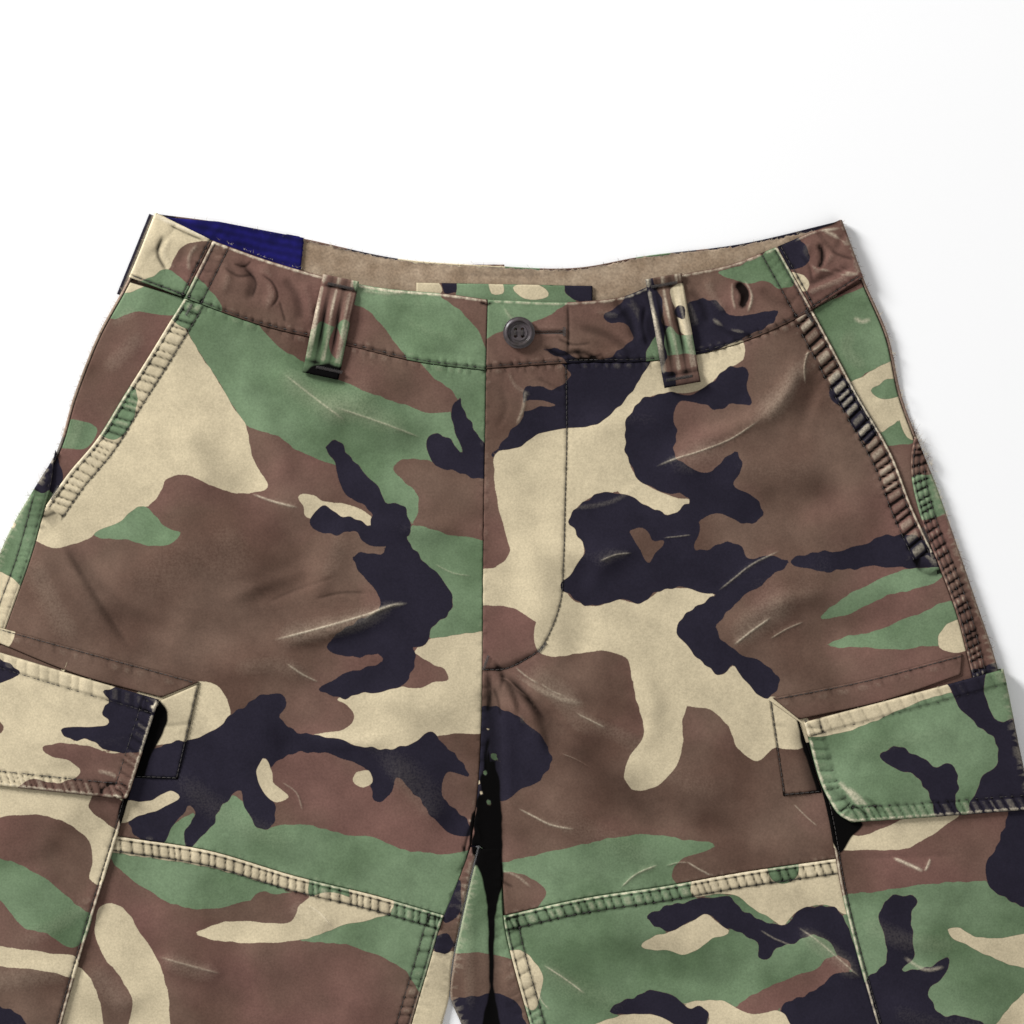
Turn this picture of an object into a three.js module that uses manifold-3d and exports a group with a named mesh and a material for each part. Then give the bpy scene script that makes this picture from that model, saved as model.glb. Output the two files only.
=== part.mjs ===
// Camouflage cargo shorts laid flat on their back, as a cutter and a machinist would make them.
// Millimetres. +X is the wearer's left, +Y runs from the hems to the waist, +Z is up off the table.
//
// The garment is a flattened tube for each leg. The two back panels lie on the table and fold round
// the inside of each leg and the outside of each hip; the front panels lie on top of them. Every
// cloth piece is a wall CLOTH thick: the space between two height fields, cut to the piece's outline.
// All height fields share one grid, so that a piece laid on another clears it by GAP all over.
import * as THREE from "three";
import { mergeVertices } from "three/addons/utils/BufferGeometryUtils.js";
import Module from "manifold-3d";

const wasm = await Module();
wasm.setup();
const { Manifold, Mesh: SolidMesh } = wasm;

// ---- driving dimensions ----------------------------------------------------------------------
const CLOTH = 1.0; // wall of one turned and pressed cloth piece
const GAP = 0.3; // clearance between pieces that touch
const LAYER = CLOTH + GAP; // what one piece on top of another adds
const PUFF = 2.2; // most air between the back and the front of a leg
const WAISTBAND_H = 42; // finished height of the waistband
const FOLD_WALL = 1.2; // thickness of the cloth where a panel turns over at a fold
const POCKET_WRAP = 62; // how far a cargo pocket goes round onto the back
const RAMP = 46; // a raised layer comes down to the one below over this distance
const SKY = 60; // taller than any stack of layers
const LOOP_WIDTH = 22;
const BUTTON_RADIUS = 10;

// ---- outlines, as short tables ---------------------------------------------------------------
// Outer edges of the laid-flat garment: the fold at each hip and leg, at each height y.
const SIDES = [
  { y: 294, right: -187, left: 226 },
  { y: 255, right: -203, left: 239 },
  { y: 220, right: -222, left: 254 },
  { y: 185, right: -236, left: 262 },
  { y: 150, right: -247, left: 275 },
  { y: 130, right: -259, left: 283 },
  { y: 110, right: -271, left: 290 },
  { y: 60, right: -292, left: 307 },
  { y: 30, right: -302, left: 317 },
  { y: -30, right: -317, left: 330 },
  { y: -90, right: -333, left: 343 },
  { y: -150, right: -350, left: 357 },
];
// Inside of the legs: the inseam is sewn to the front panel, and the back panel folds beyond it.
const INSEAMS = [
  { y: -86, rightSeam: 3, rightFold: 7.2, leftFold: 8.2, leftSeam: 21 },
  { y: -100, rightSeam: -2, rightFold: 3.6, leftFold: 4.6, leftSeam: 21.4 },
  { y: -134, rightSeam: -15.5, rightFold: -4, leftFold: -3, leftSeam: 23 },
  { y: -160, rightSeam: -23, rightFold: -9, leftFold: -8, leftSeam: 29 },
  { y: -178, rightSeam: -28.5, rightFold: -10.5, leftFold: -9.2, leftSeam: 34 },
  { y: -192, rightSeam: -32.5, rightFold: -14, leftFold: -3.6, leftSeam: 38 },
  { y: -240, rightSeam: -49, rightFold: -27, leftFold: 14, leftSeam: 52 },
];
// Hem corners: inner fold, inseam and outer fold of each leg.
const HEM = {
  right: { fold: [-44, -297], seam: [-68, -292], outer: [-372, -228] },
  left: { fold: [34, -297], seam: [67, -291], outer: [376, -232] },
};
// Top edges of the waistband, back and front; the front dips lower and ends at the fly.
const BACK_TOP = [[-187, 294], [-149, 289], [-97, 279], [-40, 267], [12, 263], [70, 262], [103, 268], [166, 276], [226, 290]];
const FRONT_TOP = {
  right: [[-152, 277.5], [-115, 264.5], [-56, 250], [-8, 245], [13, 242]],
  left: [[13, 242], [70, 241], [94, 244], [121, 255], [161, 264], [187, 274]],
};
// Seam below the waistband: on the front from the side seam to the fly, and where it meets the side fold.
const FRONT_SEAM = {
  right: [[-169, 243], [-126, 227.5], [-73, 215], [-28, 204.5], [11.8, 199.5]],
  left: [[12, 200.5], [63, 204], [118, 206], [158, 214], [198, 230.5], [208, 236]],
};
const SEAM_AT_SIDE = { right: [-203, 255], left: [239, 255] };
// Slanted edge of the hand pockets, from the waistband's seam down to the outseam.
const POCKET_EDGE = {
  right: [[-169, 243], [-187, 214], [-206, 184], [-223, 157], [-239, 138], [-253, 118]],
  left: [[208, 236], [221, 212], [233.5, 188.5], [257, 147], [268.5, 117], [281, 90]],
};
// Felled outseam: where it comes over the side fold, and on down behind the cargo pocket.
const FELL_START = { right: 152, left: 163 };
const FELL_TOP = { right: [[-249.5, 130]], left: [[267.5, 149], [275, 106]] };
const OUTSEAM = {
  right: [[-253, 118], [-263, 83], [-271, 61], [-281, 32], [-300, -40], [-306, -60]],
  left: [[281, 90], [287, 75], [296, 49], [300, 33], [312, -20], [322, -78]],
};
// Seam across each thigh, from the inseam to the outseam.
const THIGH_SEAM = {
  right: [[-13, -128], [-54, -116], [-103, -104], [-154, -89], [-210, -80], [-306, -60]],
  left: [[23, -128], [67, -118], [120, -110], [165, -102], [220, -94], [322, -78]],
};
// Lines of the shared height grid: closer where more layers lie on each other.
const GRID_X = [-408, -376, -344, -312, -281, -251, -222, -193, -163, -130, -98, -65, -34, -9, 13, 36, 66, 99, 132, 164, 194, 223, 252, 282, 313, 345, 377, 408];
const GRID_Y = [-320, -284, -248, -212, -178, -144, -112, -80, -50, -20, 12, 46, 80, 114, 146, 176, 204, 228, 250, 272, 294, 320];
// Centre front: the fly's edge and the crotch seam below it, from the waist down.
const CENTRE_FRONT = [[13, 242], [12, 200.5], [10.2, 86], [9.6, 8], [8.9, -18], [7.2, -50], [3, -86]];
const CENTRE_BACK = [[12, 221], [11, 120], [10, 20], [8, -60], [7.7, -86]];
// Cargo pockets: the front edge, and where the top and bottom edges meet the side fold.
const CARGO = {
  right: { front: [[-189.5, -14], [-199, -45], [-206, -69], [-232, -155], [-252, -226]], sideTop: 4, sideBottom: -207 },
  left: { front: [[204, -24], [214, -54], [226, -116], [257, -230]], sideTop: -8, sideBottom: -210 },
};
// Flaps: front top corner, front bottom corner with its cut-off, and the ends at the side fold.
const FLAP = {
  right: { top: [-184, 2], bottom: [-202, -55], corner: [-210, -55], sideTop: 37, sideBottom: -45 },
  left: { top: [199, -11], bottom: [215.5, -57], corner: [229, -71], sideTop: 20, sideBottom: -64 },
};
// Narrow pressed band that the flap hangs from, and the stitched end of the pocket's side pleat.
const BAND = {
  right: [[-160, 12.5], [-220, 29], [-281, 45.5], [-281, 36], [-233, 17], [-183, 3.2]],
  left: [[184, 3], [230, 12], [298, 29.5], [297, 17], [250, 1], [200, -10]],
};
const PLEAT = {
  right: [[-160, 11.5], [-173, -46], [-199, -45], [-184.5, 1]],
  left: [[182, 1.5], [190.5, -56], [214, -54], [200, -11.2]],
};
// Belt loops: centre of the top end, lean from the vertical, and how far its middle stands up.
const LOOPS = [
  { name: "belt_loop_front_right", top: [-75, 255], lean: -12, length: 60, rise: 1.6, twist: 0.1 },
  { name: "belt_loop_front_left", top: [118.5, 256], lean: 10, length: 66, rise: 2.6, twist: -0.35 },
];
const BACK_LOOPS = [
  { name: "belt_loop_side_right", top: [-181.5, 292], lean: -22 },
  { name: "belt_loop_centre_back", top: [12, 263.5], lean: 0 },
  { name: "belt_loop_side_left", top: [205, 283], lean: 16 },
];
const LOOP_LENGTH = 60;
const BUTTON_AT = [31.8, 222];
const BUTTONHOLE = { from: [34, 222.2], to: [58.5, 222.6], width: 0.9 };
const BAND_OVERLAP = 42; // how far the right end of the waistband goes on under the left end

// ---- colours ---------------------------------------------------------------------------------
const CAMOUFLAGE = new THREE.MeshStandardMaterial({ color: 0x6b5751, roughness: 0.9, metalness: 0 });
const TAN_CLOTH = new THREE.MeshStandardMaterial({ color: 0xab9780, roughness: 0.92, metalness: 0 });
const BLUE_LABEL = new THREE.MeshStandardMaterial({ color: 0x24245c, roughness: 0.7, metalness: 0 });
const DARK_HORN = new THREE.MeshStandardMaterial({ color: 0x4b4347, roughness: 0.35, metalness: 0 });

// ---- small geometry helpers ------------------------------------------------------------------
const SIGN = { right: -1, left: 1 };
const reversed = (line) => [...line].reverse();

// Value at t of a line of [t, value] rows, straight between them.
function along(rows, t) {
  const sorted = [...rows].sort((a, b) => a[0] - b[0]);
  if (t <= sorted[0][0]) return sorted[0][1];
  for (let i = 1; i < sorted.length; i++) {
    const [t0, v0] = sorted[i - 1];
    const [t1, v1] = sorted[i];
    if (t <= t1) return v0 + ((v1 - v0) * (t - t0)) / (t1 - t0);
  }
  return sorted[sorted.length - 1][1];
}

const sideAt = (leg, y) => along([...SIDES.map((row) => [row.y, row[leg]]), [HEM[leg].outer[1], HEM[leg].outer[0]]], y);
const seamAt = (leg, y) => along([...INSEAMS.map((row) => [row.y, row[leg + "Seam"]]), [HEM[leg].seam[1], HEM[leg].seam[0]]], y);
const sideLine = (leg, high, low) => [
  [sideAt(leg, high), high],
  ...SIDES.filter((row) => row.y < high && row.y > low).map((row) => [row[leg], row.y]),
  [sideAt(leg, low), low],
];
const foldLine = (leg) => [...INSEAMS.map((row) => [row[leg + "Fold"], row.y]), HEM[leg].fold];
const seamLine = (leg, high) => [
  [seamAt(leg, high), high],
  ...INSEAMS.filter((row) => row.y < high).map((row) => [row[leg + "Seam"], row.y]),
  HEM[leg].seam,
];
const lowered = (line, drop) => line.map(([x, y]) => [x, y - drop]);

// A line moved sideways: to its left as it runs for a positive distance.
function shifted(line, distance, closed = false) {
  const n = line.length;
  const at = (i) => line[closed ? (i + n) % n : Math.min(Math.max(i, 0), n - 1)];
  return line.map(([x, y], i) => {
    const before = new THREE.Vector2(x - at(i - 1)[0], y - at(i - 1)[1]).normalize();
    const after = new THREE.Vector2(at(i + 1)[0] - x, at(i + 1)[1] - y).normalize();
    if (before.lengthSq() === 0) before.copy(after);
    if (after.lengthSq() === 0) after.copy(before);
    const normal = new THREE.Vector2(-before.y - after.y, before.x + after.x).normalize();
    const stretch = Math.min(2.5, 1 / Math.max(0.4, normal.dot(new THREE.Vector2(-after.y, after.x))));
    return [x + normal.x * distance * stretch, y + normal.y * distance * stretch];
  });
}

const area = (polygon) =>
  polygon.reduce((sum, [x, y], i) => {
    const [nextX, nextY] = polygon[(i + 1) % polygon.length];
    return sum + (x * nextY - nextX * y) / 2;
  }, 0);

// The outline with each side moved in by half a seam's gap.
const insetForSeam = (polygon) => shifted(polygon, (Math.sign(area(polygon)) * GAP) / 2, true);

function distanceOutside([x, y], polygon) {
  let inside = false;
  let nearest = Infinity;
  polygon.forEach(([ax, ay], i) => {
    const [bx, by] = polygon[(i + 1) % polygon.length];
    if (ay > y !== by > y && x < ax + ((bx - ax) * (y - ay)) / (by - ay)) inside = !inside;
    const t = THREE.MathUtils.clamp(((x - ax) * (bx - ax) + (y - ay) * (by - ay)) / ((bx - ax) ** 2 + (by - ay) ** 2), 0, 1);
    nearest = Math.min(nearest, Math.hypot(x - ax - t * (bx - ax), y - ay - t * (by - ay)));
  });
  return inside ? -nearest : nearest;
}

// ---- outlines of the pieces ------------------------------------------------------------------
const outline = {};
const FOLD_STEP = FOLD_WALL + GAP; // what one piece folded round another adds to its outside
const BEYOND = 4; // folded layers past a side fold: outlines run this far, and the fold cuts them

// A leg's side fold, moved out by a number of folded layers.
const sideFold = (leg, high, low, layers = 0) => shifted(sideLine(leg, high, low), SIGN[leg] * layers * FOLD_STEP);

// A point on a leg's hem, a given distance in from its outer corner.
function hemPoint(leg, distance) {
  const [outerX, outerY] = HEM[leg].outer;
  const [seamX, seamY] = HEM[leg].seam;
  const share = distance / Math.hypot(seamX - outerX, seamY - outerY);
  return [outerX + (seamX - outerX) * share, outerY + (seamY - outerY) * share];
}

// Round the side and onto the back: from beyond the fold to POCKET_WRAP inside it.
function wrapOutline(leg, { sideTop, sideBottom }) {
  const inner = shifted(sideLine(leg, sideTop, sideBottom), -SIGN[leg] * POCKET_WRAP);
  return [...sideFold(leg, sideTop, sideBottom, BEYOND), ...reversed(inner)];
}

// A belt loop's four corners, from its top centre and lean.
function loopOutline({ top, lean, length = LOOP_LENGTH }) {
  const angle = THREE.MathUtils.degToRad(lean);
  const corner = (across, down) => [
    top[0] + Math.cos(angle) * across + Math.sin(angle) * down,
    top[1] + Math.sin(angle) * across - Math.cos(angle) * down,
  ];
  const half = LOOP_WIDTH / 2;
  return [corner(-half, 0), corner(-half, length), corner(half, length), corner(half, 0)];
}

const SEAT_SEAM = [SEAM_AT_SIDE.right, ...lowered(BACK_TOP, WAISTBAND_H).slice(1, -1), SEAM_AT_SIDE.left];
for (const leg of ["right", "left"]) {
  const side = SIGN[leg];
  const hemY = HEM[leg].outer[1];
  const edge = POCKET_EDGE[leg];
  const tip = edge[edge.length - 1];
  const seat = SEAT_SEAM.filter(([x]) => side * (x - 12) > 1);
  const fellTop = [sideAt(leg, FELL_START[leg]), FELL_START[leg]];
  outline[leg + "_back"] = [
    ...(side < 0 ? seat : reversed(seat)),
    ...CENTRE_BACK,
    ...foldLine(leg),
    ...reversed(sideLine(leg, SEAM_AT_SIDE[leg][1], hemY)).slice(0, -1),
  ];
  outline[leg + "_inner_wrap"] = [...shifted(foldLine(leg), -side * FOLD_STEP), ...reversed(seamLine(leg, side < 0 ? -86 : -98))];
  outline[leg + "_side_wrap"] = [
    fellTop,
    ...FELL_TOP[leg],
    ...OUTSEAM[leg],
    [side < 0 ? -322 : 330, -120],
    hemPoint(leg, 12),
    ...reversed(sideFold(leg, FELL_START[leg], hemY, BEYOND)),
  ];
  outline[leg + "_facing"] = [
    edge[0],
    ...shifted(edge, side * -18).slice(0, -1),
    tip,
    ...reversed(shifted(sideLine(leg, SEAM_AT_SIDE[leg][1] - 1.5, tip[1] + 6), -side * 2)),
  ];
  outline[leg + "_cargo"] = [...CARGO[leg].front, ...reversed(sideFold(leg, CARGO[leg].sideTop, CARGO[leg].sideBottom, BEYOND))];
  outline[leg + "_cargo_under"] = wrapOutline(leg, CARGO[leg]);
  const { top, bottom, corner, sideTop, sideBottom } = FLAP[leg];
  outline[leg + "_flap"] = [top, bottom, corner, ...reversed(sideFold(leg, sideTop, sideBottom, BEYOND))];
  outline[leg + "_flap_under"] = wrapOutline(leg, FLAP[leg]);
  outline[leg + "_flap_band"] = BAND[leg];
  outline[leg + "_pleat"] = PLEAT[leg];
  const bandEnd = [FRONT_TOP[leg][side < 0 ? 0 : 5], FRONT_SEAM[leg][side < 0 ? 0 : 5]];
  const waistSide = [BACK_TOP[side < 0 ? 0 : 8], SEAM_AT_SIDE[leg]];
  outline[leg + "_waist_wrap"] = [...bandEnd, ...reversed(shifted(waistSide, side * FOLD_STEP))];
  outline[leg + "_waistband"] = [...FRONT_TOP[leg], ...reversed(FRONT_SEAM[leg])];
}
outline.right_front = [
  ...FRONT_SEAM.right,
  ...CENTRE_FRONT.slice(2),
  ...seamLine("right", -86).filter(([, y]) => y < -86 && y > -127),
  ...THIGH_SEAM.right,
  ...reversed(OUTSEAM.right.slice(1, -1)),
  ...reversed(POCKET_EDGE.right.slice(1)),
];
outline.left_front = [
  ...CENTRE_FRONT.slice(1),
  [8.2, -86],
  [21.3, -98],
  ...THIGH_SEAM.left,
  ...reversed(OUTSEAM.left.slice(1, -1)),
  ...reversed(POCKET_EDGE.left),
  ...reversed(FRONT_SEAM.left.slice(1, -1)),
];
outline.right_thigh = [...THIGH_SEAM.right, [-322, -120], hemPoint("right", 12), ...reversed(seamLine("right", -130)).slice(0, -1)];
outline.left_thigh = [...THIGH_SEAM.left, [330, -120], hemPoint("left", 12), ...reversed(seamLine("left", -130)).slice(0, -1)];
outline.fly_underlap = [[-14, 196], [54, 197], [53, 78], [40, 36], [-14, 36]];
outline.waist_underlap = [[9, 241.2], [13 + BAND_OVERLAP, 240.2], [12 + BAND_OVERLAP, 202.5], [8.5, 199.8]];
outline.waistband_back = [...BACK_TOP, ...reversed(SEAT_SEAM)];
outline.waist_facing = [[-183, 291.5], ...lowered(BACK_TOP, 0.8).slice(1, -1), [221.5, 286.5], [233.5, 253], ...reversed(lowered(BACK_TOP, 41).slice(1, -1)), [-198, 252.5]];
outline.waist_label = [[-180.5, 290.6], [-149, 286.4], [-98, 276.6], [-101, 247], [-172, 258]];
outline.inner_patch = [[-30, 252.5], [76, 250.5], [76, 230], [-30, 231]];

// ---- the shared grid and the stack of layers --------------------------------------------------
const columns = GRID_X.length;
const gridPoints = GRID_Y.flatMap((y) => GRID_X.map((x) => [x, y]));

// How much of its full lift a piece gives to each grid point: all of it at the corners of every
// cell that the piece may reach into, and less with distance past those.
function cover(polygon) {
  const lift = gridPoints.map((point) => 1 - THREE.MathUtils.smoothstep(distanceOutside(point, polygon), 0, RAMP));
  for (let j = 0; j < GRID_Y.length - 1; j++)
    for (let i = 0; i < columns - 1; i++) {
      const [width, height] = [GRID_X[i + 1] - GRID_X[i], GRID_Y[j + 1] - GRID_Y[j]];
      const centre = [GRID_X[i] + width / 2, GRID_Y[j] + height / 2];
      if (distanceOutside(centre, polygon) > Math.hypot(width, height) / 2) continue;
      for (const corner of [0, 1, columns, columns + 1]) lift[j * columns + i + corner] = 1;
    }
  return lift;
}
const covers = {};
for (const loop of [...BACK_LOOPS, ...LOOPS]) outline[loop.name] = loopOutline(loop);
for (const [name, polygon] of Object.entries(outline)) covers[name] = cover(polygon);
const anyOf = (...names) => gridPoints.map((_, k) => Math.max(...names.map((name) => covers[name][k])));
const lifted = {
  flapUnder: anyOf("right_flap_under", "left_flap_under"),
  cargoUnder: anyOf("right_cargo_under", "left_cargo_under"),
  backLoops: anyOf(...BACK_LOOPS.map((loop) => loop.name)),
  waistband: covers.waistband_back,
  facing: covers.waist_facing,
  onFacing: anyOf("waist_label", "inner_patch"),
  underFront: anyOf("right_facing", "left_facing", "fly_underlap", "waist_underlap"),
  cargo: anyOf("right_cargo", "left_cargo"),
};

// Broad folds of the upper layer: ridges (+) and troughs (-), each from one end to the other.
const FOLDS = [
  { from: [15, 6], to: [13, -94], width: 12, height: -2.0 },
  { from: [24, 14], to: [96, -24], width: 18, height: 0.9 },
  { from: [-250, 108], to: [-172, 22], width: 18, height: -0.7 },
  { from: [230, 175], to: [120, 120], width: 22, height: 0.7 },
  { from: [-20, -60], to: [-110, -20], width: 20, height: 0.7 },
  { from: [-120, -150], to: [-220, -190], width: 26, height: 0.8 },
  { from: [80, -150], to: [160, -190], width: 26, height: 0.8 },
];
const foldHeight = ([x, y]) =>
  FOLDS.reduce((sum, { from: [ax, ay], to: [bx, by], width, height }) => {
    const t = THREE.MathUtils.clamp(((x - ax) * (bx - ax) + (y - ay) * (by - ay)) / ((bx - ax) ** 2 + (by - ay) ** 2), 0, 1);
    const off = Math.hypot(x - ax - t * (bx - ax), y - ay - t * (by - ay)) / width;
    return sum + height * Math.exp(-off * off) * Math.sin(Math.PI * (0.15 + 0.7 * t));
  }, 0);

// Air between the back and the front: less of it where other pieces already hold the front up.
const air = gridPoints.map((point, k) => {
  const inside = -Math.min(distanceOutside(point, outline.right_back), distanceOutside(point, outline.left_back));
  const held = LAYER * (lifted.waistband[k] + lifted.onFacing[k] + lifted.underFront[k]);
  const puff = PUFF * THREE.MathUtils.smoothstep(inside, 6, 55) - held;
  return Math.max(0, puff + foldHeight(point) * THREE.MathUtils.smoothstep(inside, 0, 30));
});

// Height of the underside of each layer at each grid point. Each one clears everything below it.
const stack = (below, ...lifts) => gridPoints.map((_, k) => below[k] + LAYER * lifts.reduce((sum, lift) => sum + lift[k], 0));
const whole = gridPoints.map(() => 1);
const levels = { table: gridPoints.map(() => 0) };
levels.cargoUnder = stack(levels.table, lifted.flapUnder);
levels.back = stack(levels.cargoUnder, lifted.cargoUnder, lifted.backLoops);
levels.facing = stack(levels.back, lifted.waistband);
levels.label = stack(levels.facing, lifted.facing);
levels.inner = stack(levels.back, whole, lifted.waistband, lifted.onFacing).map((z, k) => z + air[k]);
levels.front = stack(levels.inner, lifted.underFront);
levels.overlay = stack(levels.front, whole);
levels.flap = stack(levels.overlay, lifted.cargo);

// Height of a level between its grid points, on the same triangles as the solids.
function heightAt(name, x, y) {
  const i = GRID_X.findIndex((line) => line > x) - 1;
  const j = GRID_Y.findIndex((line) => line > y) - 1;
  const [s, t] = [(x - GRID_X[i]) / (GRID_X[i + 1] - GRID_X[i]), (y - GRID_Y[j]) / (GRID_Y[j + 1] - GRID_Y[j])];
  const [a, b, c, d] = [0, 1, columns + 1, columns].map((corner) => levels[name][j * columns + i + corner]);
  return s >= t ? a + s * (b - a) + t * (c - b) : a + t * (d - a) + s * (c - d);
}

// ---- solids ----------------------------------------------------------------------------------
function toSolid(geometry) {
  geometry.deleteAttribute("normal");
  geometry.deleteAttribute("uv");
  const merged = mergeVertices(geometry, 1e-4);
  const vertProperties = new Float32Array(merged.attributes.position.array);
  return new Manifold(new SolidMesh({ numProp: 3, vertProperties, triVerts: new Uint32Array(merged.index.array) }));
}

// A closed body between two sheets of points, lower and upper, each across x down.
function bodyBetween(lower, upper, across, down) {
  const count = lower.length;
  const index = [];
  const quad = (a, b, c, d) => index.push(a, b, c, a, c, d);
  const at = (i, j) => j * across + i;
  for (let j = 0; j < down - 1; j++)
    for (let i = 0; i < across - 1; i++) {
      quad(at(i, j) + count, at(i + 1, j) + count, at(i + 1, j + 1) + count, at(i, j + 1) + count);
      index.push(at(i, j), at(i + 1, j + 1), at(i + 1, j), at(i, j), at(i, j + 1), at(i + 1, j + 1));
    }
  for (let i = 0; i < across - 1; i++) {
    quad(at(i, 0), at(i + 1, 0), at(i + 1, 0) + count, at(i, 0) + count);
    quad(at(i + 1, down - 1), at(i, down - 1), at(i, down - 1) + count, at(i + 1, down - 1) + count);
  }
  for (let j = 0; j < down - 1; j++) {
    quad(at(0, j + 1), at(0, j), at(0, j) + count, at(0, j + 1) + count);
    quad(at(across - 1, j), at(across - 1, j + 1), at(across - 1, j + 1) + count, at(across - 1, j) + count);
  }
  const geometry = new THREE.BufferGeometry();
  geometry.setAttribute("position", new THREE.Float32BufferAttribute([...lower, ...upper].flat(), 3));
  geometry.setIndex(index);
  return geometry;
}

const slabs = {};
function slab(bottom, top) {
  const key = bottom + " to " + top;
  if (!slabs[key]) {
    const sheetAt = (name, lift) => gridPoints.map(([x, y], k) => [x, y, levels[name][k] + lift]);
    slabs[key] = toSolid(bodyBetween(sheetAt(bottom, 0), sheetAt(top, CLOTH), columns, GRID_Y.length));
  }
  return slabs[key];
}

function prism(polygon) {
  const shape = new THREE.Shape(polygon.map(([x, y]) => new THREE.Vector2(x, y)));
  const geometry = new THREE.ExtrudeGeometry(shape, { depth: SKY, bevelEnabled: false });
  geometry.translate(0, 0, -SKY / 3);
  return toSolid(geometry);
}

const footprint = (name) => prism(insetForSeam(outline[name]));
const sheet = (name, level) => slab(level, level).intersect(footprint(name));

// The cloth that turns over at a fold: all between two layers along a line, to FOLD_WALL inside it.
// It runs past the line, and the outline of the whole piece cuts it there.
function foldWall(line, inwards, bottom, top) {
  const outer = shifted(line, -inwards * FOLD_STEP);
  const inner = shifted(line, inwards * (GAP / 2 + FOLD_WALL));
  return slab(bottom, top).intersect(prism([...outer, ...reversed(inner)]));
}

// The inside folds start this little below the crotch, clear of the fronts that meet there.
const belowCrotch = ([[x, y], next, ...rest]) => [[x + ((next[0] - x) * 2.4) / (y - next[1]), y - 2.4], next, ...rest];

// All that lies inside a leg's side fold, moved out by a number of folded layers.
function insideFold(leg, layers) {
  const line = shifted(sideFold(leg, SEAM_AT_SIDE[leg][1], HEM[leg].outer[1], layers), (-SIGN[leg] * GAP) / 2);
  return prism([...line, ...reversed(shifted(line, -SIGN[leg] * 260))]);
}

const group = new THREE.Group();
function addPiece(name, solid, material) {
  const mesh = solid.getMesh();
  const corners = new Float32Array(mesh.numVert * 3);
  for (let i = 0; i < mesh.numVert; i++) corners.set(mesh.vertProperties.subarray(i * mesh.numProp, i * mesh.numProp + 3), i * 3);
  const geometry = new THREE.BufferGeometry();
  geometry.setAttribute("position", new THREE.BufferAttribute(corners, 3));
  geometry.setIndex(new THREE.BufferAttribute(new Uint32Array(mesh.triVerts), 1));
  geometry.computeVertexNormals();
  const piece = new THREE.Mesh(geometry, material);
  piece.name = name;
  group.add(piece);
}

// ---- back panels: on the table, folded round the inside leg and the outside of the hip ---------
for (const leg of ["right", "left"]) {
  const side = SIGN[leg];
  const panel = slab("back", "back")
    .add(foldWall(belowCrotch(foldLine(leg)), side, "back", "front"))
    .add(sheet(leg + "_inner_wrap", "front"))
    .add(foldWall(sideLine(leg, SEAM_AT_SIDE[leg][1] + 3, 120), -side, "back", "inner"))
    .add(foldWall(sideLine(leg, FELL_START[leg], HEM[leg].outer[1] - 3), -side, "back", "front"))
    .add(sheet(leg + "_side_wrap", "front"))
    .intersect(footprint(leg + "_back"));
  addPiece(leg + "_back_panel", panel, CAMOUFLAGE);
}

// ---- front and thigh panels, pocket facings and the fly's underlap -----------------------------
for (const leg of ["right", "left"]) {
  addPiece(leg + "_pocket_facing", sheet(leg + "_facing", "inner"), CAMOUFLAGE);
  addPiece(leg + "_front_panel", sheet(leg + "_front", "front"), CAMOUFLAGE);
  addPiece(leg + "_thigh_panel", sheet(leg + "_thigh", "front"), CAMOUFLAGE);
}
addPiece("fly_underlap", sheet("fly_underlap", "inner"), CAMOUFLAGE);

// ---- waistband: the back goes round both side folds; the right end goes on under the left ------
const waistbandBack = slab("back", "back")
  .add(foldWall([BACK_TOP[0], SEAM_AT_SIDE.right], 1, "back", "front"))
  .add(foldWall([BACK_TOP[8], SEAM_AT_SIDE.left], -1, "back", "front"))
  .add(sheet("right_waist_wrap", "front"))
  .add(sheet("left_waist_wrap", "front"))
  .intersect(footprint("waistband_back"));
addPiece("waistband_back", waistbandBack, CAMOUFLAGE);
addPiece("waistband_facing", sheet("waist_facing", "facing"), TAN_CLOTH);
addPiece("waist_label", sheet("waist_label", "label"), BLUE_LABEL);
addPiece("waist_inner_patch", sheet("inner_patch", "label"), CAMOUFLAGE);
const flyEnd = [FRONT_TOP.right[4], FRONT_SEAM.right[4]];
const flyStep = foldWall(flyEnd, -1, "inner", "front").intersect(footprint("right_waistband"));
const rightEnd = sheet("right_waistband", "front").add(flyStep).add(sheet("waist_underlap", "inner"));
addPiece("waistband_front_right", rightEnd, CAMOUFLAGE);
const slit = shifted([BUTTONHOLE.from, BUTTONHOLE.to], -BUTTONHOLE.width / 2);
const buttonhole = prism([...slit, ...reversed(shifted(slit, BUTTONHOLE.width))]);
addPiece("waistband_front_left", sheet("left_waistband", "front").subtract(buttonhole), CAMOUFLAGE);

// ---- belt loops ------------------------------------------------------------------------------
for (const { name } of BACK_LOOPS) addPiece(name, sheet(name, "table"), CAMOUFLAGE);

// A front loop: both ends turned under and tacked flat, the middle standing off the waistband.
const FLAT_END = 0.17; // share of the loop's length that each tacked end takes
const END_THICKNESS = 2.2;
const MIDDLE_THICKNESS = 1.3;
function frontLoop(loop) {
  const [topLeft, bottomLeft, bottomRight, topRight] = loopOutline(loop);
  const mix = (a, b, t) => [a[0] + (b[0] - a[0]) * t, a[1] + (b[1] - a[1]) * t];
  const lower = [];
  const upper = [];
  const steps = 12;
  for (let j = 0; j <= steps; j++)
    for (let i = 0; i <= 2; i++) {
      const down = 1 - j / steps;
      const [x, y] = mix(mix(topLeft, topRight, i / 2), mix(bottomLeft, bottomRight, i / 2), down);
      const middle = THREE.MathUtils.smoothstep(Math.min(down, 1 - down), FLAT_END * 0.7, 0.42);
      const z = heightAt("overlay", x, y) + loop.rise * middle * (1 + loop.twist * (i - 1));
      lower.push([x, y, z]);
      upper.push([x, y, z + THREE.MathUtils.lerp(END_THICKNESS, MIDDLE_THICKNESS, THREE.MathUtils.smoothstep(Math.min(down, 1 - down), FLAT_END * 0.5, FLAT_END))]);
    }
  return toSolid(bodyBetween(lower, upper, 3, steps + 1));
}
for (const loop of LOOPS) addPiece(loop.name, frontLoop(loop), CAMOUFLAGE);

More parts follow.
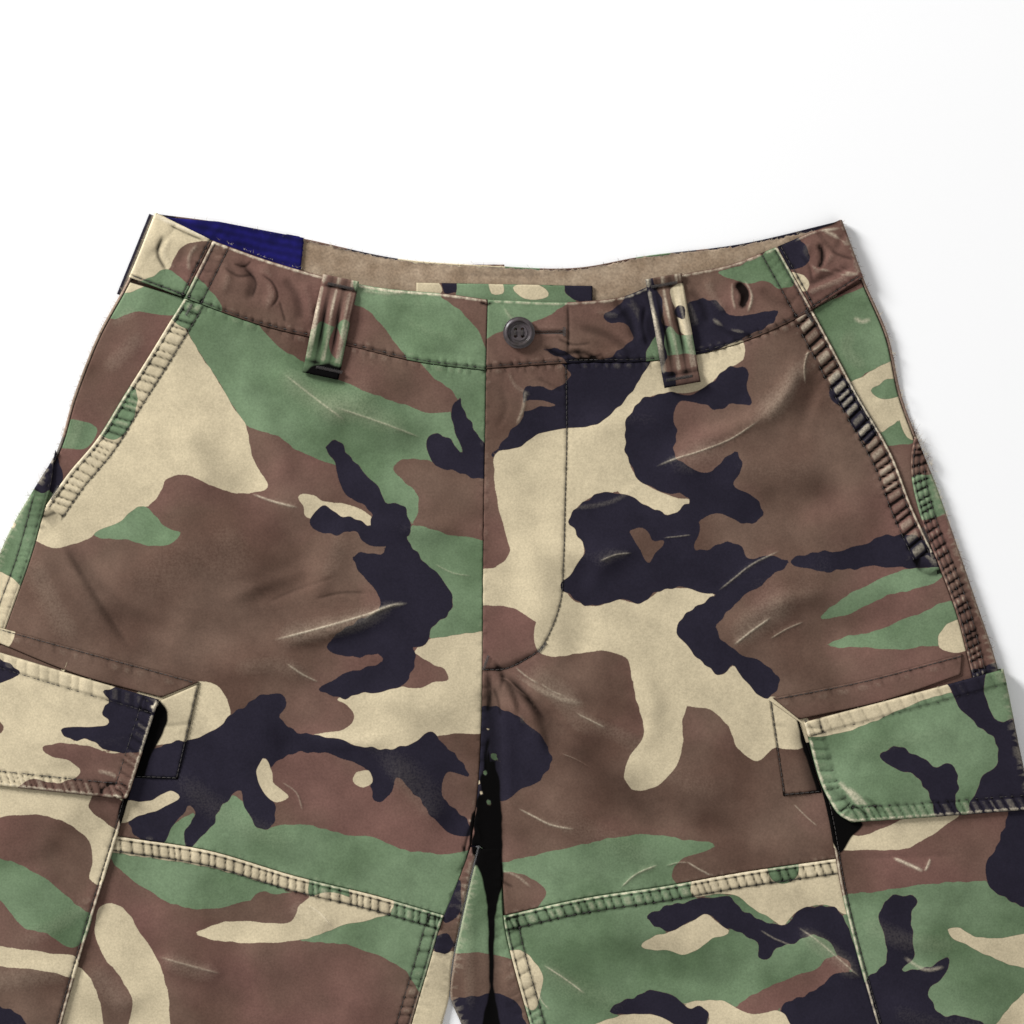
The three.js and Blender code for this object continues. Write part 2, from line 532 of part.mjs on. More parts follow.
// ---- button ----------------------------------------------------------------------------------
const BUTTON_PROFILE = [[0, 0], [7.6, 0], [9.4, 0.7], [BUTTON_RADIUS, 1.7], [9.5, 2.7], [8.4, 3.1], [7.2, 2.9], [6.1, 1.9], [0, 1.7]];
const button = new THREE.LatheGeometry(BUTTON_PROFILE.map(([r, z]) => new THREE.Vector2(r, z)), 36);
button.rotateX(Math.PI / 2);
button.translate(BUTTON_AT[0], BUTTON_AT[1], heightAt("overlay", ...BUTTON_AT) + 0.4);
let buttonSolid = toSolid(button);
for (const [dx, dy] of [[-2.1, -2.1], [2.1, -2.1], [-2.1, 2.1], [2.1, 2.1]]) {
  const hole = new THREE.CylinderGeometry(0.95, 0.95, SKY, 12);
  hole.rotateX(Math.PI / 2);
  hole.translate(BUTTON_AT[0] + dx, BUTTON_AT[1] + dy, 0);
  buttonSolid = buttonSolid.subtract(toSolid(hole));
}
addPiece("waist_button", buttonSolid, DARK_HORN);

// ---- cargo pockets and what belongs to them --------------------------------------------------
for (const leg of ["right", "left"]) {
  const side = SIGN[leg];
  const fold = ({ sideTop, sideBottom }, layers) => sideFold(leg, sideTop, sideBottom, layers);
  const pocket = sheet(leg + "_cargo", "overlay")
    .add(foldWall(fold(CARGO[leg], 1), -side, "cargoUnder", "overlay"))
    .add(sheet(leg + "_cargo_under", "cargoUnder"))
    .intersect(insideFold(leg, 1));
  const flap = sheet(leg + "_flap", "flap")
    .add(foldWall(fold(FLAP[leg], 2), -side, "table", "flap"))
    .add(sheet(leg + "_flap_under", "table"))
    .intersect(insideFold(leg, 2));
  addPiece(leg + "_cargo_pocket", pocket, CAMOUFLAGE);
  addPiece(leg + "_cargo_flap", flap, CAMOUFLAGE);
  addPiece(leg + "_flap_band", sheet(leg + "_flap_band", "overlay"), CAMOUFLAGE);
  addPiece(leg + "_pocket_pleat", sheet(leg + "_pleat", "overlay"), CAMOUFLAGE);
}

// ---- the part stands at the origin of its own frame -------------------------------------------
const box = new THREE.Box3().setFromObject(group);
const middle = box.getCenter(new THREE.Vector3());
for (const piece of group.children) piece.geometry.translate(-middle.x, -middle.y, -box.min.z);

export default group;
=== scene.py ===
import math

import bpy
import numpy as np
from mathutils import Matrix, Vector, kdtree
from mathutils.bvhtree import BVHTree
from mathutils.geometry import delaunay_2d_cdt


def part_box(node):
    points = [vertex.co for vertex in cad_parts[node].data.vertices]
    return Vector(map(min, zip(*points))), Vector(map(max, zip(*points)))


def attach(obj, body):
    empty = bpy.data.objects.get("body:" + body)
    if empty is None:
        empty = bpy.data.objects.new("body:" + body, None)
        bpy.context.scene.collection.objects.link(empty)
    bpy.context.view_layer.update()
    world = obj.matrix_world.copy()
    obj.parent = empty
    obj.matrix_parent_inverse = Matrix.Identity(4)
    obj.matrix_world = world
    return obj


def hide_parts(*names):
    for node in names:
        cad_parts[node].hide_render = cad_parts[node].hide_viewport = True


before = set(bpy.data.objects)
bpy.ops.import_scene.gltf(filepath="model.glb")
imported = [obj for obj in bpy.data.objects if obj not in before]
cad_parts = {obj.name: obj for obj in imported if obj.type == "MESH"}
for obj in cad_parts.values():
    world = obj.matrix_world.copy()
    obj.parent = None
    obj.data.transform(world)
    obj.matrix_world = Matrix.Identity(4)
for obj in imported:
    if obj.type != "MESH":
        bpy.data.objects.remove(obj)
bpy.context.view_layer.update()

# ==================================================================================================
# Back panels
# Two cut pieces of washed cotton twill printed in four woodland colours. Laid flat they lie on the
# table, turn over the hip and the inside leg, and show on top as strips up to the felled seams.
# ==================================================================================================

# All tables are in the garment's own millimetres, as it was cut; the waist button fixes their origin.
button_low, button_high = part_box("waist_button")
BUTTON_AT = np.array([31.8, 222.0])
ORIGIN = np.array([(button_low.x + button_high.x) * 500, (button_low.y + button_high.y) * 500]) - BUTTON_AT
CLOTH = 0.9  # thickness of one piece of turned and pressed twill
LAYER = 1.3  # what one piece on top of another adds
SIGN = {"right": -1, "left": 1}
rng = np.random.default_rng(7)


def spots(places):
    """Reads places written as x,y x,y."""
    return [[float(v) for v in place.split(",")] for place in places.split()]


def curve(points, step=1.5, closed=False):
    """A smooth line through a few places, in points about a step apart."""
    p = np.array(points, float)
    ends = (p[-1], p[:2]) if closed else (2 * p[0] - p[1], 2 * p[-1] - p[-2])
    p = np.vstack([ends[0], p, ends[1]])
    gap = np.linalg.norm(np.diff(p, axis=0), axis=1)[:, None]
    speed = np.diff(p, axis=0) / gap
    slope = (speed[:-1] * gap[1:] + speed[1:] * gap[:-1]) / (gap[1:] + gap[:-1])
    rows = []
    for i in range(len(slope) - 1):
        a, b, h = p[i + 1], p[i + 2], gap[i + 1]
        n = max(1, math.ceil(h[0] / step))
        t = (np.arange(n) / n)[:, None]
        rows.append((2 * t**3 - 3 * t**2 + 1) * a + (t**3 - 2 * t**2 + t) * h * slope[i]
                    + (3 * t**2 - 2 * t**3) * b + (t**3 - t**2) * h * slope[i + 1])
    if not closed:
        rows.append(p[-2:-1])
    return np.vstack(rows)


def between(line, high, low):
    """The part of a line that runs down from one height to another."""
    keep = (line[:, 1] < high - 0.4) & (line[:, 1] > low + 0.4)
    top, bottom = [[np.interp(-y, -line[:, 1], line[:, 0]), y] for y in (high, low)]
    return np.vstack([top, line[keep], bottom])


def steps(line):
    """The lengths of a line's steps."""
    return np.linalg.norm(np.diff(line, axis=0), axis=1)


def run(line):
    """How far along a line each of its own points lies."""
    return np.r_[0, np.cumsum(steps(line))]


def at(line, distance):
    """The places at some distances along a line."""
    return np.stack([np.interp(distance, run(line), line[:, k]) for k in (0, 1)], axis=-1)


def moved(line, distance, closed=False):
    """A line moved sideways, to its left as it runs for a positive distance."""
    before = np.roll(line, 1, axis=0)
    after = np.roll(line, -1, axis=0)
    if not closed:
        before[0], after[-1] = line[0], line[-1]
    along = after - before
    along /= np.maximum(np.linalg.norm(along, axis=1), 1e-9)[:, None]
    return line + distance * np.c_[-along[:, 1], along[:, 0]]


# Where each leg turns over: outer folds by height, then the inseam and the fold beyond it.
SIDE = {
    "right": spots("-187,294 -203,255 -222,220 -236,185 -247,150 -259,130 -271,110 -292,60 -302,30 -317,-30"
                   " -333,-90 -350,-150 -372,-228"),
    "left": spots("226,290 239,255 254,220 262,185 275,150 283,130 290,110 307,60 317,30 330,-30 343,-90"
                  " 357,-150 376,-232"),
}
INSEAM = {
    "right": spots("3,-86 -2,-100 -15.5,-134 -23,-160 -28.5,-178 -32.5,-192 -49,-240 -68,-292"),
    "left": spots("21,-86 21.4,-100 23,-134 29,-160 34,-178 38,-192 52,-240 67,-291"),
}
INNER_FOLD = {
    "right": spots("7.2,-86 3.6,-100 -4,-134 -9,-160 -10.5,-178 -14,-192 -27,-240 -44,-297"),
    "left": spots("8.2,-86 4.6,-100 -3,-134 -8,-160 -9.2,-178 -3.6,-192 14,-240 34,-297"),
}
SEAT_SEAM = spots("-203,255 -149,247 -97,237 -40,225 12,221 70,220 103,226 166,234 239,255")
CENTRE_BACK = spots("12,221 11,120 10,20 8,-60 7.7,-86")
OUTSEAM = {
    "right": spots("-253,118 -263,83 -271,61 -281,32 -300,-40 -322,-120 -360,-230.5"),
    "left": spots("281,90 287,75 296,49 300,33 312,-20 330,-120 364,-234.3"),
}
FELL_TOP = {"right": spots("-247,152 -249.5,130 -253,118"), "left": spots("270,163 267.5,149 275,106 281,90")}
side_line = {leg: curve(SIDE[leg]) for leg in SIGN}
inseam_line = {leg: curve(INSEAM[leg]) for leg in SIGN}
inner_fold = {leg: curve(INNER_FOLD[leg]) for leg in SIGN}
outseam_line = {leg: curve(OUTSEAM[leg]) for leg in SIGN}

# Height fields: the frame's own surfaces, read by rays on a grid and smoothed, so that pieces that
# meet share one form.
CELL = 4.0
OUTSIDE = 50  # mm: higher than anything, and lower when it is turned round
grid_x = np.arange(-404, 405, CELL)
grid_y = np.arange(-316, 317, CELL)


def surface(nodes, downwards, above=None):
    """Heights of these nodes' upper (or lower) surface on the grid, filled out past them and smoothed."""
    trees = []
    for name in nodes:
        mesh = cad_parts[name].data
        trees.append(BVHTree.FromPolygons([v.co * 1000 for v in mesh.vertices],
                                          [p.vertices for p in mesh.polygons]))
    heights = np.full((len(grid_y), len(grid_x)), np.nan)
    away = 1 if downwards else -1
    ray = Vector((0, 0, -away))
    nudge = (0.013, 0.017)  # keeps the rays off the edges between faces
    for j, y in enumerate(grid_y):
        for i, x in enumerate(grid_x):
            start = Vector((x + ORIGIN[0] + nudge[0], y + ORIGIN[1] + nudge[1], OUTSIDE * away))
            hits = [hit[0].z for hit in (tree.ray_cast(start, ray) for tree in trees) if hit[0] is not None]
            if hits:
                best = max(hits) if downwards else min(hits)
                if above is None or best > above[j, i]:
                    heights[j, i] = best
    known = ~np.isnan(heights)
    heights[~known] = np.nanmean(heights)
    kept = heights.copy()
    for reach in (16, 8, 4, 2, 1):
        for _ in range(24):
            padded = np.pad(heights, reach, mode="edge")
            spread = (padded[:-2 * reach, reach:-reach] + padded[2 * reach:, reach:-reach]
                      + padded[reach:-reach, :-2 * reach] + padded[reach:-reach, 2 * reach:]) / 4
            heights = np.where(known, kept, spread)
    for _ in range(3):
        padded = np.pad(heights, 1, mode="edge")
        heights = (padded[:-2, 1:-1] + padded[2:, 1:-1] + padded[1:-1, :-2] + padded[1:-1, 2:]
                   + 2 * heights) / 6
    return heights


def height_on(field, points):
    """The height of a field at some points, straight between its grid's own."""
    u = np.clip((points[:, 0] - grid_x[0]) / CELL, 0, len(grid_x) - 1.001)
    v = np.clip((points[:, 1] - grid_y[0]) / CELL, 0, len(grid_y) - 1.001)
    i, j = u.astype(int), v.astype(int)
    s, t = u - i, v - j
    return ((field[j, i] * (1 - s) + field[j, i + 1] * s) * (1 - t)
            + (field[j + 1, i] * (1 - s) + field[j + 1, i + 1] * s) * t)


BACKS = ["right_back_panel", "left_back_panel", "waistband_back"]
FRONTS = ["right_front_panel", "left_front_panel", "right_thigh_panel", "left_thigh_panel",
          "waistband_front_right", "waistband_front_left"]
back_under = surface(BACKS, downwards=False)
front_top = surface(BACKS + FRONTS, downwards=True, above=back_under + 2.0)


BATCH = 4000  # points taken at a time, to save memory


def to_line(points, line):
    """Signed distance of points to a line (positive to its left), and how far along it they lie."""
    a, b = line[:-1], line[1:]
    step = b - a
    size = np.maximum((step**2).sum(1), 1e-12)
    start = np.r_[0, np.cumsum(np.sqrt(size))]
    signed = np.empty(len(points))
    along = np.empty(len(points))
    for first in range(0, len(points), BATCH):
        p = points[first:first + BATCH, None, :]
        t = np.clip(((p - a) * step).sum(2) / size, 0, 1)
        off = p - a - t[..., None] * step
        far = (off**2).sum(2)
        k = far.argmin(1)
        row = np.arange(len(k))
        side = step[k, 0] * off[row, k, 1] - step[k, 1] * off[row, k, 0]
        signed[first:first + BATCH] = np.sqrt(far[row, k]) * np.where(side < 0, -1, 1)
        along[first:first + BATCH] = start[k] + t[row, k] * np.sqrt(size[k])
    return signed, along


def close_to(points, line, reach):
    """Which points may lie within reach of a line."""
    low, high = line.min(0) - reach, line.max(0) + reach
    return np.nonzero(((points > low) & (points < high)).all(1))[0]


def smooth(low, high, value):
    t = np.clip((value - low) / (high - low), 0, 1)
    return t * t * (3 - 2 * t)


def crease_rows(text):
    """Reads folds or creases from a table: places x,y along each | its width, height, and wear with painted
    shade; and so on.
    """
    rows = []
    for row in text.split(";"):
        places, numbers = row.split("|")
        rows.append((spots(places), *map(float, numbers.split())))
    return rows


# Folds that the whole upper layer takes, front panels, thighs and all that lies on them: places along
# each | its width, height (below 0 is a trough) and wear (paler above 0; below 0 it is painted shade).
FOLDS = crease_rows("""
13,30 15,-20 17,-60 19,-112 | 5.5 -2.0 -.5; 16,-104 17,-150 16,-210 | 4 -1.0 -.45;
2,-98 1,-140 4,-200 | 4.5 1.3 .08; -6,-120 -12,-160 -14,-190 | 3 -.8 -.4;
22,16 24,-30 26,-80 | 4.5 1.2 .0; -247,100 -228,66 -200,30 | 11 -2.7 -.25;
-262,96 -246,60 -226,30 | 12 2.4 .1; -205,96 -185,60 -150,38 | 16 2 .05;
-137,60 -110,74 -84,80 | 9 -1.9 -.15; -128,40 -92,44 -60,52 -34,63 | 7 2 .12;
-160,96 -120,110 -90,128 | 14 2 .05; -92,190 -55,170 -22,158 | 10 1.9 .1;
-118,205 -94,184 -66,166 | 9 1.7 .1; -90,150 -50,150 -14,162 | 12 -1.5 -.08;
-150,20 -110,22 -88,12 | 8 1.7 .08; -70,-20 -30,-44 -4,-76 | 13 2.2 .05;
-130,-20 -80,-50 -30,-84 | 14 -2.2 -.12; -190,-30 -140,-70 -80,-92 | 12 2 .06;
14,18 30,8 46,-8 64,-30 | 6 -2.5 -.35; 20,16 34,2 56,-28 | 5 2 .15;
27,28 44,14 80,-10 120,-24 | 9 2.2 .12; 50,-24 86,-44 128,-74 | 10 -2.5 -.3;
40,-60 80,-80 130,-100 | 13 2 .06; 60,6 90,-8 122,-16 | 7 -1.5 -.12;
112,134 150,154 196,176 | 10 2.2 .08; 206,214 196,190 170,170 | 8 2 .12;
214,204 206,182 208,150 | 7 -1.9 -.15; 250,130 226,112 190,104 | 14 1.9 .05;
200,62 176,48 156,32 | 8 1.9 .12; 276,62 230,44 196,40 | 12 -1.7 -.06;
-230,-155 -214,-172 -196,-188 | 9 2.2 .1; -188,-150 -165,-160 -142,-164 | 7 1.7 .1;
-110,-120 -94,-128 -78,-138 | 6 1.5 .12; -90,-160 -130,-190 -200,-215 | 16 2.5 .04;
-60,-150 -110,-172 -170,-196 | 15 -2.2 -.08; 30,-146 60,-168 110,-186 | 12 2 .06;
100,-150 150,-166 200,-176 | 13 -1.9 -.06; 196,-134 216,-148 240,-168 | 6 1.9 .14;
60,-210 130,-236 220,-244 | 18 2.7 .03; -60,-240 -150,-250 -260,-240 | 18 2.7 .03;
236,96 206,74 150,70 | 15 1.7 .04; -60,10 -20,-4 8,-8 | 9 1.4 .05;
-248,100 -228,64 -204,26 | 4.5 2.2 .02; -252,104 -214,62 -176,44 | 6 1.6 .06;
-150,60 -118,72 -84,82 | 4 1.5 .03; -120,34 -90,40 -50,52 | 3.5 1.5 .05;
16,14 34,8 60,-12 88,-28 | 3.5 1.8 .06; 18,4 34,-8 50,-32 | 3.5 1.6 .04; 14,16 26,2 34,-20 | 3 1.5 .03;
128,152 158,164 190,176 | 5 1.8 .04; 200,205 192,186 178,168 | 4 1.8 .06;
216,190 208,172 206,150 | 4 1.4 .03; -128,178 -112,150 -106,128 | 7 1.8 .04;
-170,170 -160,140 -158,120 | 9 1.6 .03; -60,110 -30,104 6,108 | 6 1.4 .04;
40,96 70,88 100,92 | 7 1.6 .04; 150,40 190,62 230,66 | 5 1.6 .04; -96,-20 -70,-24 -40,-20 | 5 1.4 .04;
100,30 112,0 110,-30 | 6 1.6 .03; 70,60 84,84 110,96 | 6 1.4 .03; -240,92 -206,58 -172,38 | 4 -1.5 -.25;
-200,80 -150,84 -100,70 | 20 2.6 .05; -215,60 -160,46 -100,36 | 15 -2.0 -.05;
-150,150 -120,108 -84,84 | 16 -2.2 -.06; -100,60 -80,84 -74,112 | 8 1.6 .06;
120,190 150,170 196,150 | 12 -2.2 -.1; 150,150 186,138 222,138 | 14 2.4 .05;
160,120 200,116 244,124 | 12 -1.8 -.08; 66,160 96,170 130,168 | 8 1.5 .04;
30,120 44,60 36,24 | 10 1.5 .03; 66,90 72,50 60,10 | 10 -1.6 -.04; 80,-20 120,-44 170,-60 | 14 2.4 .05;
60,-50 110,-66 190,-84 | 9 -1.8 -.08; -120,-10 -100,-30 -60,-60 | 10 -1.8 -.05;
-50,-30 -30,-60 -10,-78 | 8 1.6 .04; -70,230 -60,200 -62,170 | 10 1.6 .04;
-40,196 -20,170 -14,150 | 8 -1.6 -.06; -140,-140 -110,-160 -70,-176 | 12 2.2 .05;
80,-140 120,-156 180,-160 | 12 -2.0 -.05; 140,-190 190,-200 240,-212 | 16 2.2 .04;
4,120 30,104 56,108 | 9 -1.0 -.03""")

# Short crisp creases, pressed in by folding: pale where the print has rubbed off along them, and painted
# shade along those with wear below 0.
CREASES = crease_rows("""
36,188 34,176 30,166 | 1.0 .4 .35; 20,192 24,176 18,164 | 1.6 -.4 -.2;
42,196 52,190 60,186 | 1.2 -.4 -.3; 24,200 30,190 40,184 | 1.4 .5 .15;
11,20 22,21.5 33,26 42,30.5 | 1.5 -.4 -.7; 13,19 14,6 13,-8 | 1.4 -.4 -.8;
22,18 34,6 43,-8 48,-22 50,-34 | 2.4 -.6 -.55; 18,14 26,6 31,-6 36,-14 | 1.4 .5 .12;
24,20 38,11 56,3 74,-1 | 1.5 .5 .2; 16,10 19,2 21,-10 | 1.0 -.3 -.5;
14,-96 20,-106 30,-112 | 1.0 -.3 -.6; 18,-100 30,-104 40,-112 | .8 .3 .3; 1,-70 6,-74 9,-84 | .7 .3 1.0;
3,-73 1,-80 -2,-92 | .8 -.3 -.9; -3,-84 0,-92 -6,-104 | 1.1 -.3 -.5; 14,-20 12,-30 13,-44 | 1.0 -.3 -.8;
-244,99 -223,64 -199,27 | 1.6 -.4 -.3; -120,60 -96,70 -76,76 | 1.2 -.3 -.2;
-92,62 -74,66 -58,66 | .9 -.3 -.4; 18,20 26,10 30,0 30,-14 | 1.6 -.5 -.5;
24,16 36,4 50,-14 | 1.4 -.5 -.35; 16,26 22,16 20,6 | 1.3 -.4 -.5;
-130,126 -116,121 -100,117 | .66 .45 .6; -80,178 -50,168 -24,158 | .6 .35 .34;
-110,198 -92,184 -72,169 | .6 .35 .34; -118,37 -84,46 -54,55 -36,62 | .6 .4 .52;
-108,24 -98,17 -88,12 | .54 .4 .45; -112,-47 -102,-54 -98,-66 | .54 .3 .34;
-96,-121 -88,-126 -80,-135 | .54 .35 .52; -186,-152 -168,-157 -146,-163 | .6 .35 .26;
-62,50 -50,57 -34,60 | .78 .4 .38; 19,15 24,14 31,8 38,2 | .6 .5 .45; 29,22 36,16 44,11 | .54 .4 .38;
44,12 52,7 60,4 | .48 .3 .22; 66,-6 74,-10 84,-15 | .48 .3 .38; 56,-30 66,-34 76,-40 | .48 .3 .38;
30,-63 40,-68 50,-73 66,-76 | .54 .35 .56; 112,141 124,146 140,151 158,158 178,171 | .54 .35 .52;
80,85 90,89 100,90 | .48 .3 .38; 118,99 128,100 136,101 | .42 .25 .3;
150,66 160,74 170,82 190,92 | .54 .35 .38; 160,34 170,42 184,52 | .6 .4 .6;
182,38 194,45 204,49 | .48 .3 .38; 132,-95 140,-100 150,-105 | .54 .35 .52;
120,-98 128,-96 134,-96 | .48 .3 .3; 92,-112 102,-103 116,-97 | .54 .35 .52;
46,-157 54,-162 60,-166 72,-175 | .48 .35 .6; 43,-172 46,-180 51,-185 | .48 .3 .45;
198,-134 210,-142 222,-152 238,-166 | .54 .35 .45; 176,-136 184,-141 196,-146 | .54 .35 .3;
196,-60 204,-68 212,-75 | .42 .3 .38; -20,84 -8,78 4,76 | .54 .25 .22;
60,116 90,122 110,136 | 1.6 .25 .12; 206,213 203,202 204,190 | .54 .4 .38;
220,222 212,214 202,208 | .48 .3 .3""")


def folded(points, rows, taper=0.3):
    """Height, and wear with painted shade below 0, that rows of folds or creases give to points."""
    height, wear_and_shade = np.zeros(len(points)), np.zeros(len(points))
    for places, width, rise, worn_and_shaded in rows:
        line = curve(places, step=3)
        near = close_to(points, line, width * 2.6)
        if not len(near):
            continue
        off, along = to_line(points[near], line)
        t = along / steps(line).sum()
        ends = smooth(0, taper, t) * smooth(0, taper, 1 - t)
        bell = np.exp(-((off / width) ** 2)) * ends
        height[near] += rise * bell
        wear_and_shade[near] += worn_and_shaded * bell
    return height, wear_and_shade


def within(points, ring):
    """Which points lie inside a closed line."""
    a, b = ring, np.roll(ring, -1, axis=0)
    slant = (b[:, 0] - a[:, 0]) / np.where(b[:, 1] == a[:, 1], 1e-9, b[:, 1] - a[:, 1])
    odd = np.empty(len(points), bool)
    for first in range(0, len(points), BATCH):
        p = points[first:first + BATCH, None, :]
        crossing = (a[:, 1] > p[..., 1]) != (b[:, 1] > p[..., 1])
        left_of = p[..., 0] < a[:, 0] + slant * (p[..., 1] - a[:, 1])
        odd[first:first + BATCH] = (crossing & left_of).sum(1) % 2 == 1
    return odd


# How far the edge of a patch of each colour strays, in mm; a gap is painted shadow, the dark between two
# layers.
RAGGED = {"sand": 0.3, "green": 0.4, "brown": 0.4, "black": 0.75, "gap": 0.22}
SHADES = ("sand", "green", "black", "gap")
FAR = 6.0  # mm from a patch's edge, beyond which distances no longer matter
EDGE_STEP = 1.6  # mm between points on a patch's edge


def patches(text):
    """Reads a chart of the print: a patch's colour and the places round its edge; then the next."""
    return [tuple(row.strip().split(None, 1)) for row in text.split(";")]


def camouflage(points, chart):
    """Distances in mm to the sand, green and black of the print (below 0 inside), brown between them,
    and to the gaps of painted shadow, which lie over all three."""
    shades = {key: np.full(len(points), FAR) for key in SHADES}
    for colour, places in chart:
        if places == "all":
            near, inside = np.arange(len(points)), np.full(len(points), -FAR)
        else:
            edge = curve(spots(places), step=EDGE_STEP, closed=True)
            way = np.arange(len(edge)) * EDGE_STEP
            stray = (np.sin(way * 0.33 + edge[0, 0])
                     + 0.6 * np.sin(way * 0.74 + edge[0, 1]) * (1 + np.sin(way * 0.11)))
            edge = moved(edge, RAGGED[colour] * 0.7 * stray[:, None], closed=True)
            near = close_to(points, edge, FAR)
            if not len(near):
                continue
            off = to_line(points[near], np.vstack([edge, edge[:1]]))[0]
            inside = np.minimum(np.abs(off), FAR) * np.where(within(points[near], edge), -1, 1)
        for shade, distance in shades.items():
            if shade == colour:
                distance[near] = np.minimum(distance[near], inside)
            elif colour != "gap":
                distance[near] = np.maximum(distance[near], -inside)
    return shades


def distance_to(places):
    """A function that gives the distance from each of some points to the nearest of these places."""
    tree = kdtree.KDTree(len(places))
    for k, (x, y) in enumerate(places):
        tree.insert((x, y, 0), k)
    tree.balance()
    return lambda points: np.array([tree.find((x, y, 0))[2] for x, y in points])


def ring_round(line, other, free=(True, True), step=1.5):
    """The sides of a piece between two lines that run the same way; its two ends are straight."""
    return [(line, free[0]), (curve([line[-1], other[-1]], step), True), (other[::-1], free[1]),
            (curve([other[0], line[0]], step), True)]


def corners_round(corners):
    """The sides of a piece with straight edges, beginning with the one from its last corner."""
    return [(curve([corners[k - 1], corners[k]]), True) for k in range(len(corners))]


PUCKERED = 0.5  # a seam that rises more than this gets a grid of points of its own
SEAM_REACH = 16  # mm from a seam's line, beyond which none goes


def lay_sheet(sides, chart, seams=(), coarse=3.0, rows=()):
    """Cuts a sheet to its sides and fills it with points, close together where the print changes
    colour, at creases and along seams. Each side is (line, free): a free one gets a rounded edge."""
    outline = np.vstack([line[:-1] if np.allclose(line[-1], sides[(k + 1) % len(sides)][0][0]) else line
                         for k, (line, free) in enumerate(sides)])
    outline = outline[np.linalg.norm(outline - np.roll(outline, 1, axis=0), axis=1) > 0.15]
    ahead = np.roll(outline, -1, axis=0)
    turning = np.sign(np.sum(outline[:, 0] * ahead[:, 1] - outline[:, 1] * ahead[:, 0]))
    nearest = distance_to(outline)
    rings = []
    for line, free in sides:
        if free and len(line) > 2:
            for depth in (0.45, 1.1, 2.2):  # rows of points for the rounded edge
                ring = moved(line, turning * depth)[1:-1]
                rings.append(ring[nearest(ring) > depth * 0.93] if len(ring) else ring)
    fine = coarse / 2
    x, y = [np.arange(outline[:, k].min() + 1, outline[:, k].max(), fine) for k in (0, 1)]
    lattice = np.stack(np.meshgrid(x, y), axis=-1)
    sparse = np.zeros(lattice.shape[:2], bool)
    sparse[::2, ::2] = True
    lattice, sparse = lattice.reshape(-1, 2), sparse.ravel()
    inside = within(lattice, outline)
    lattice, sparse = lattice[inside], sparse[inside]
    shades = camouflage(lattice, chart)
    wanted = sparse | (np.min([np.abs(d) for d in shades.values()], axis=0) < 1.25 * fine)
    for places, width, rise, worn_and_shaded in rows:
        line = curve(places, step=3)
        near = close_to(lattice, line, 4)
        if len(near):
            wanted[near] |= np.abs(to_line(lattice[near], line)[0]) < 1.6 * width + fine / 2
    for seam in seams:
        near = close_to(lattice, seam["line"], SEAM_REACH)
        if len(near):
            off = to_line(lattice[near], seam["line"])[0]
            wanted[near] |= (off > seam["near"] - 3) & (off < seam["far"] + 3)
    dense = []
    for seam in seams:
        if seam["rise"] <= PUCKERED:
            continue
        line = seam["line"]
        off, along = np.meshgrid(np.arange(seam["near"] - 0.4, seam["far"] + 0.5, 1.15),
                                 np.arange(0.5, steps(line).sum(), 0.95))
        off, along = off.ravel(), along.ravel()
        out = moved(line, 1.0) - line
        dense.append(np.stack([np.interp(along, run(line), line[:, k])
                               + off * np.interp(along, run(line), out[:, k]) for k in (0, 1)], axis=-1))
        near = close_to(lattice, line, SEAM_REACH)
        if len(near):
            off = to_line(lattice[near], line)[0]
            wanted[near] &= (off < seam["near"] - 0.9) | (off > seam["far"] + 0.9)
    lattice = lattice[wanted] + rng.uniform(-0.12, 0.12, (wanted.sum(), 2))
    lattice = lattice[nearest(lattice) > 2.6]
    guides = [moved(curve(places, step=1.3), k * width) for places, width, rise, worn_and_shaded in rows
              if width < 1.4 for k in (-1.5, -0.7, 0, 0.7, 1.5)]
    guides += [moved(seam["line"], row + k) for seam in seams if seam["rise"] <= PUCKERED
               for row in seam["rows"] for k in (-0.8, 0, 0.8)]
    guides += dense
    if guides:
        guides = np.vstack(guides)
        guides = guides[within(guides, outline)]
        guides = guides[nearest(guides) > 1.2] if len(guides) else guides
        if len(guides):
            from_guides = distance_to(guides)
            lattice = lattice[from_guides(lattice) > 0.75]
            rings = [ring[from_guides(ring) > 0.3] if len(ring) else ring for ring in rings]
        rings.append(guides)
    points = np.vstack([outline] + rings + [lattice])
    count = len(outline)
    loop = [(k, (k + 1) % count) for k in range(count)]
    found = delaunay_2d_cdt([Vector(p) for p in points.tolist()], loop, [], 0, 1e-4, False)
    points, faces = np.array([v[:] for v in found[0]]), np.array([tuple(f) for f in found[2]])
    faces = faces[within(points[faces].mean(axis=1), outline)]
    used, renumbered = np.unique(faces, return_inverse=True)
    return points[used], [tuple(face) for face in renumbered.reshape(-1, 3).tolist()], outline


def rolled(points, sides, drop=0.42, width=0.9):
    """How far the rounded edge of the cloth drops at each point."""
    fall = np.zeros(len(points))
    for line, free in sides:
        near = close_to(points, line, width) if free else ()
        if len(near):
            off = np.abs(to_line(points[near], line)[0])
            lost = drop * (1 - np.sqrt(1 - np.clip(1 - off / width, 0, 1) ** 2))
            fall[near] = np.maximum(fall[near], lost)
    return fall


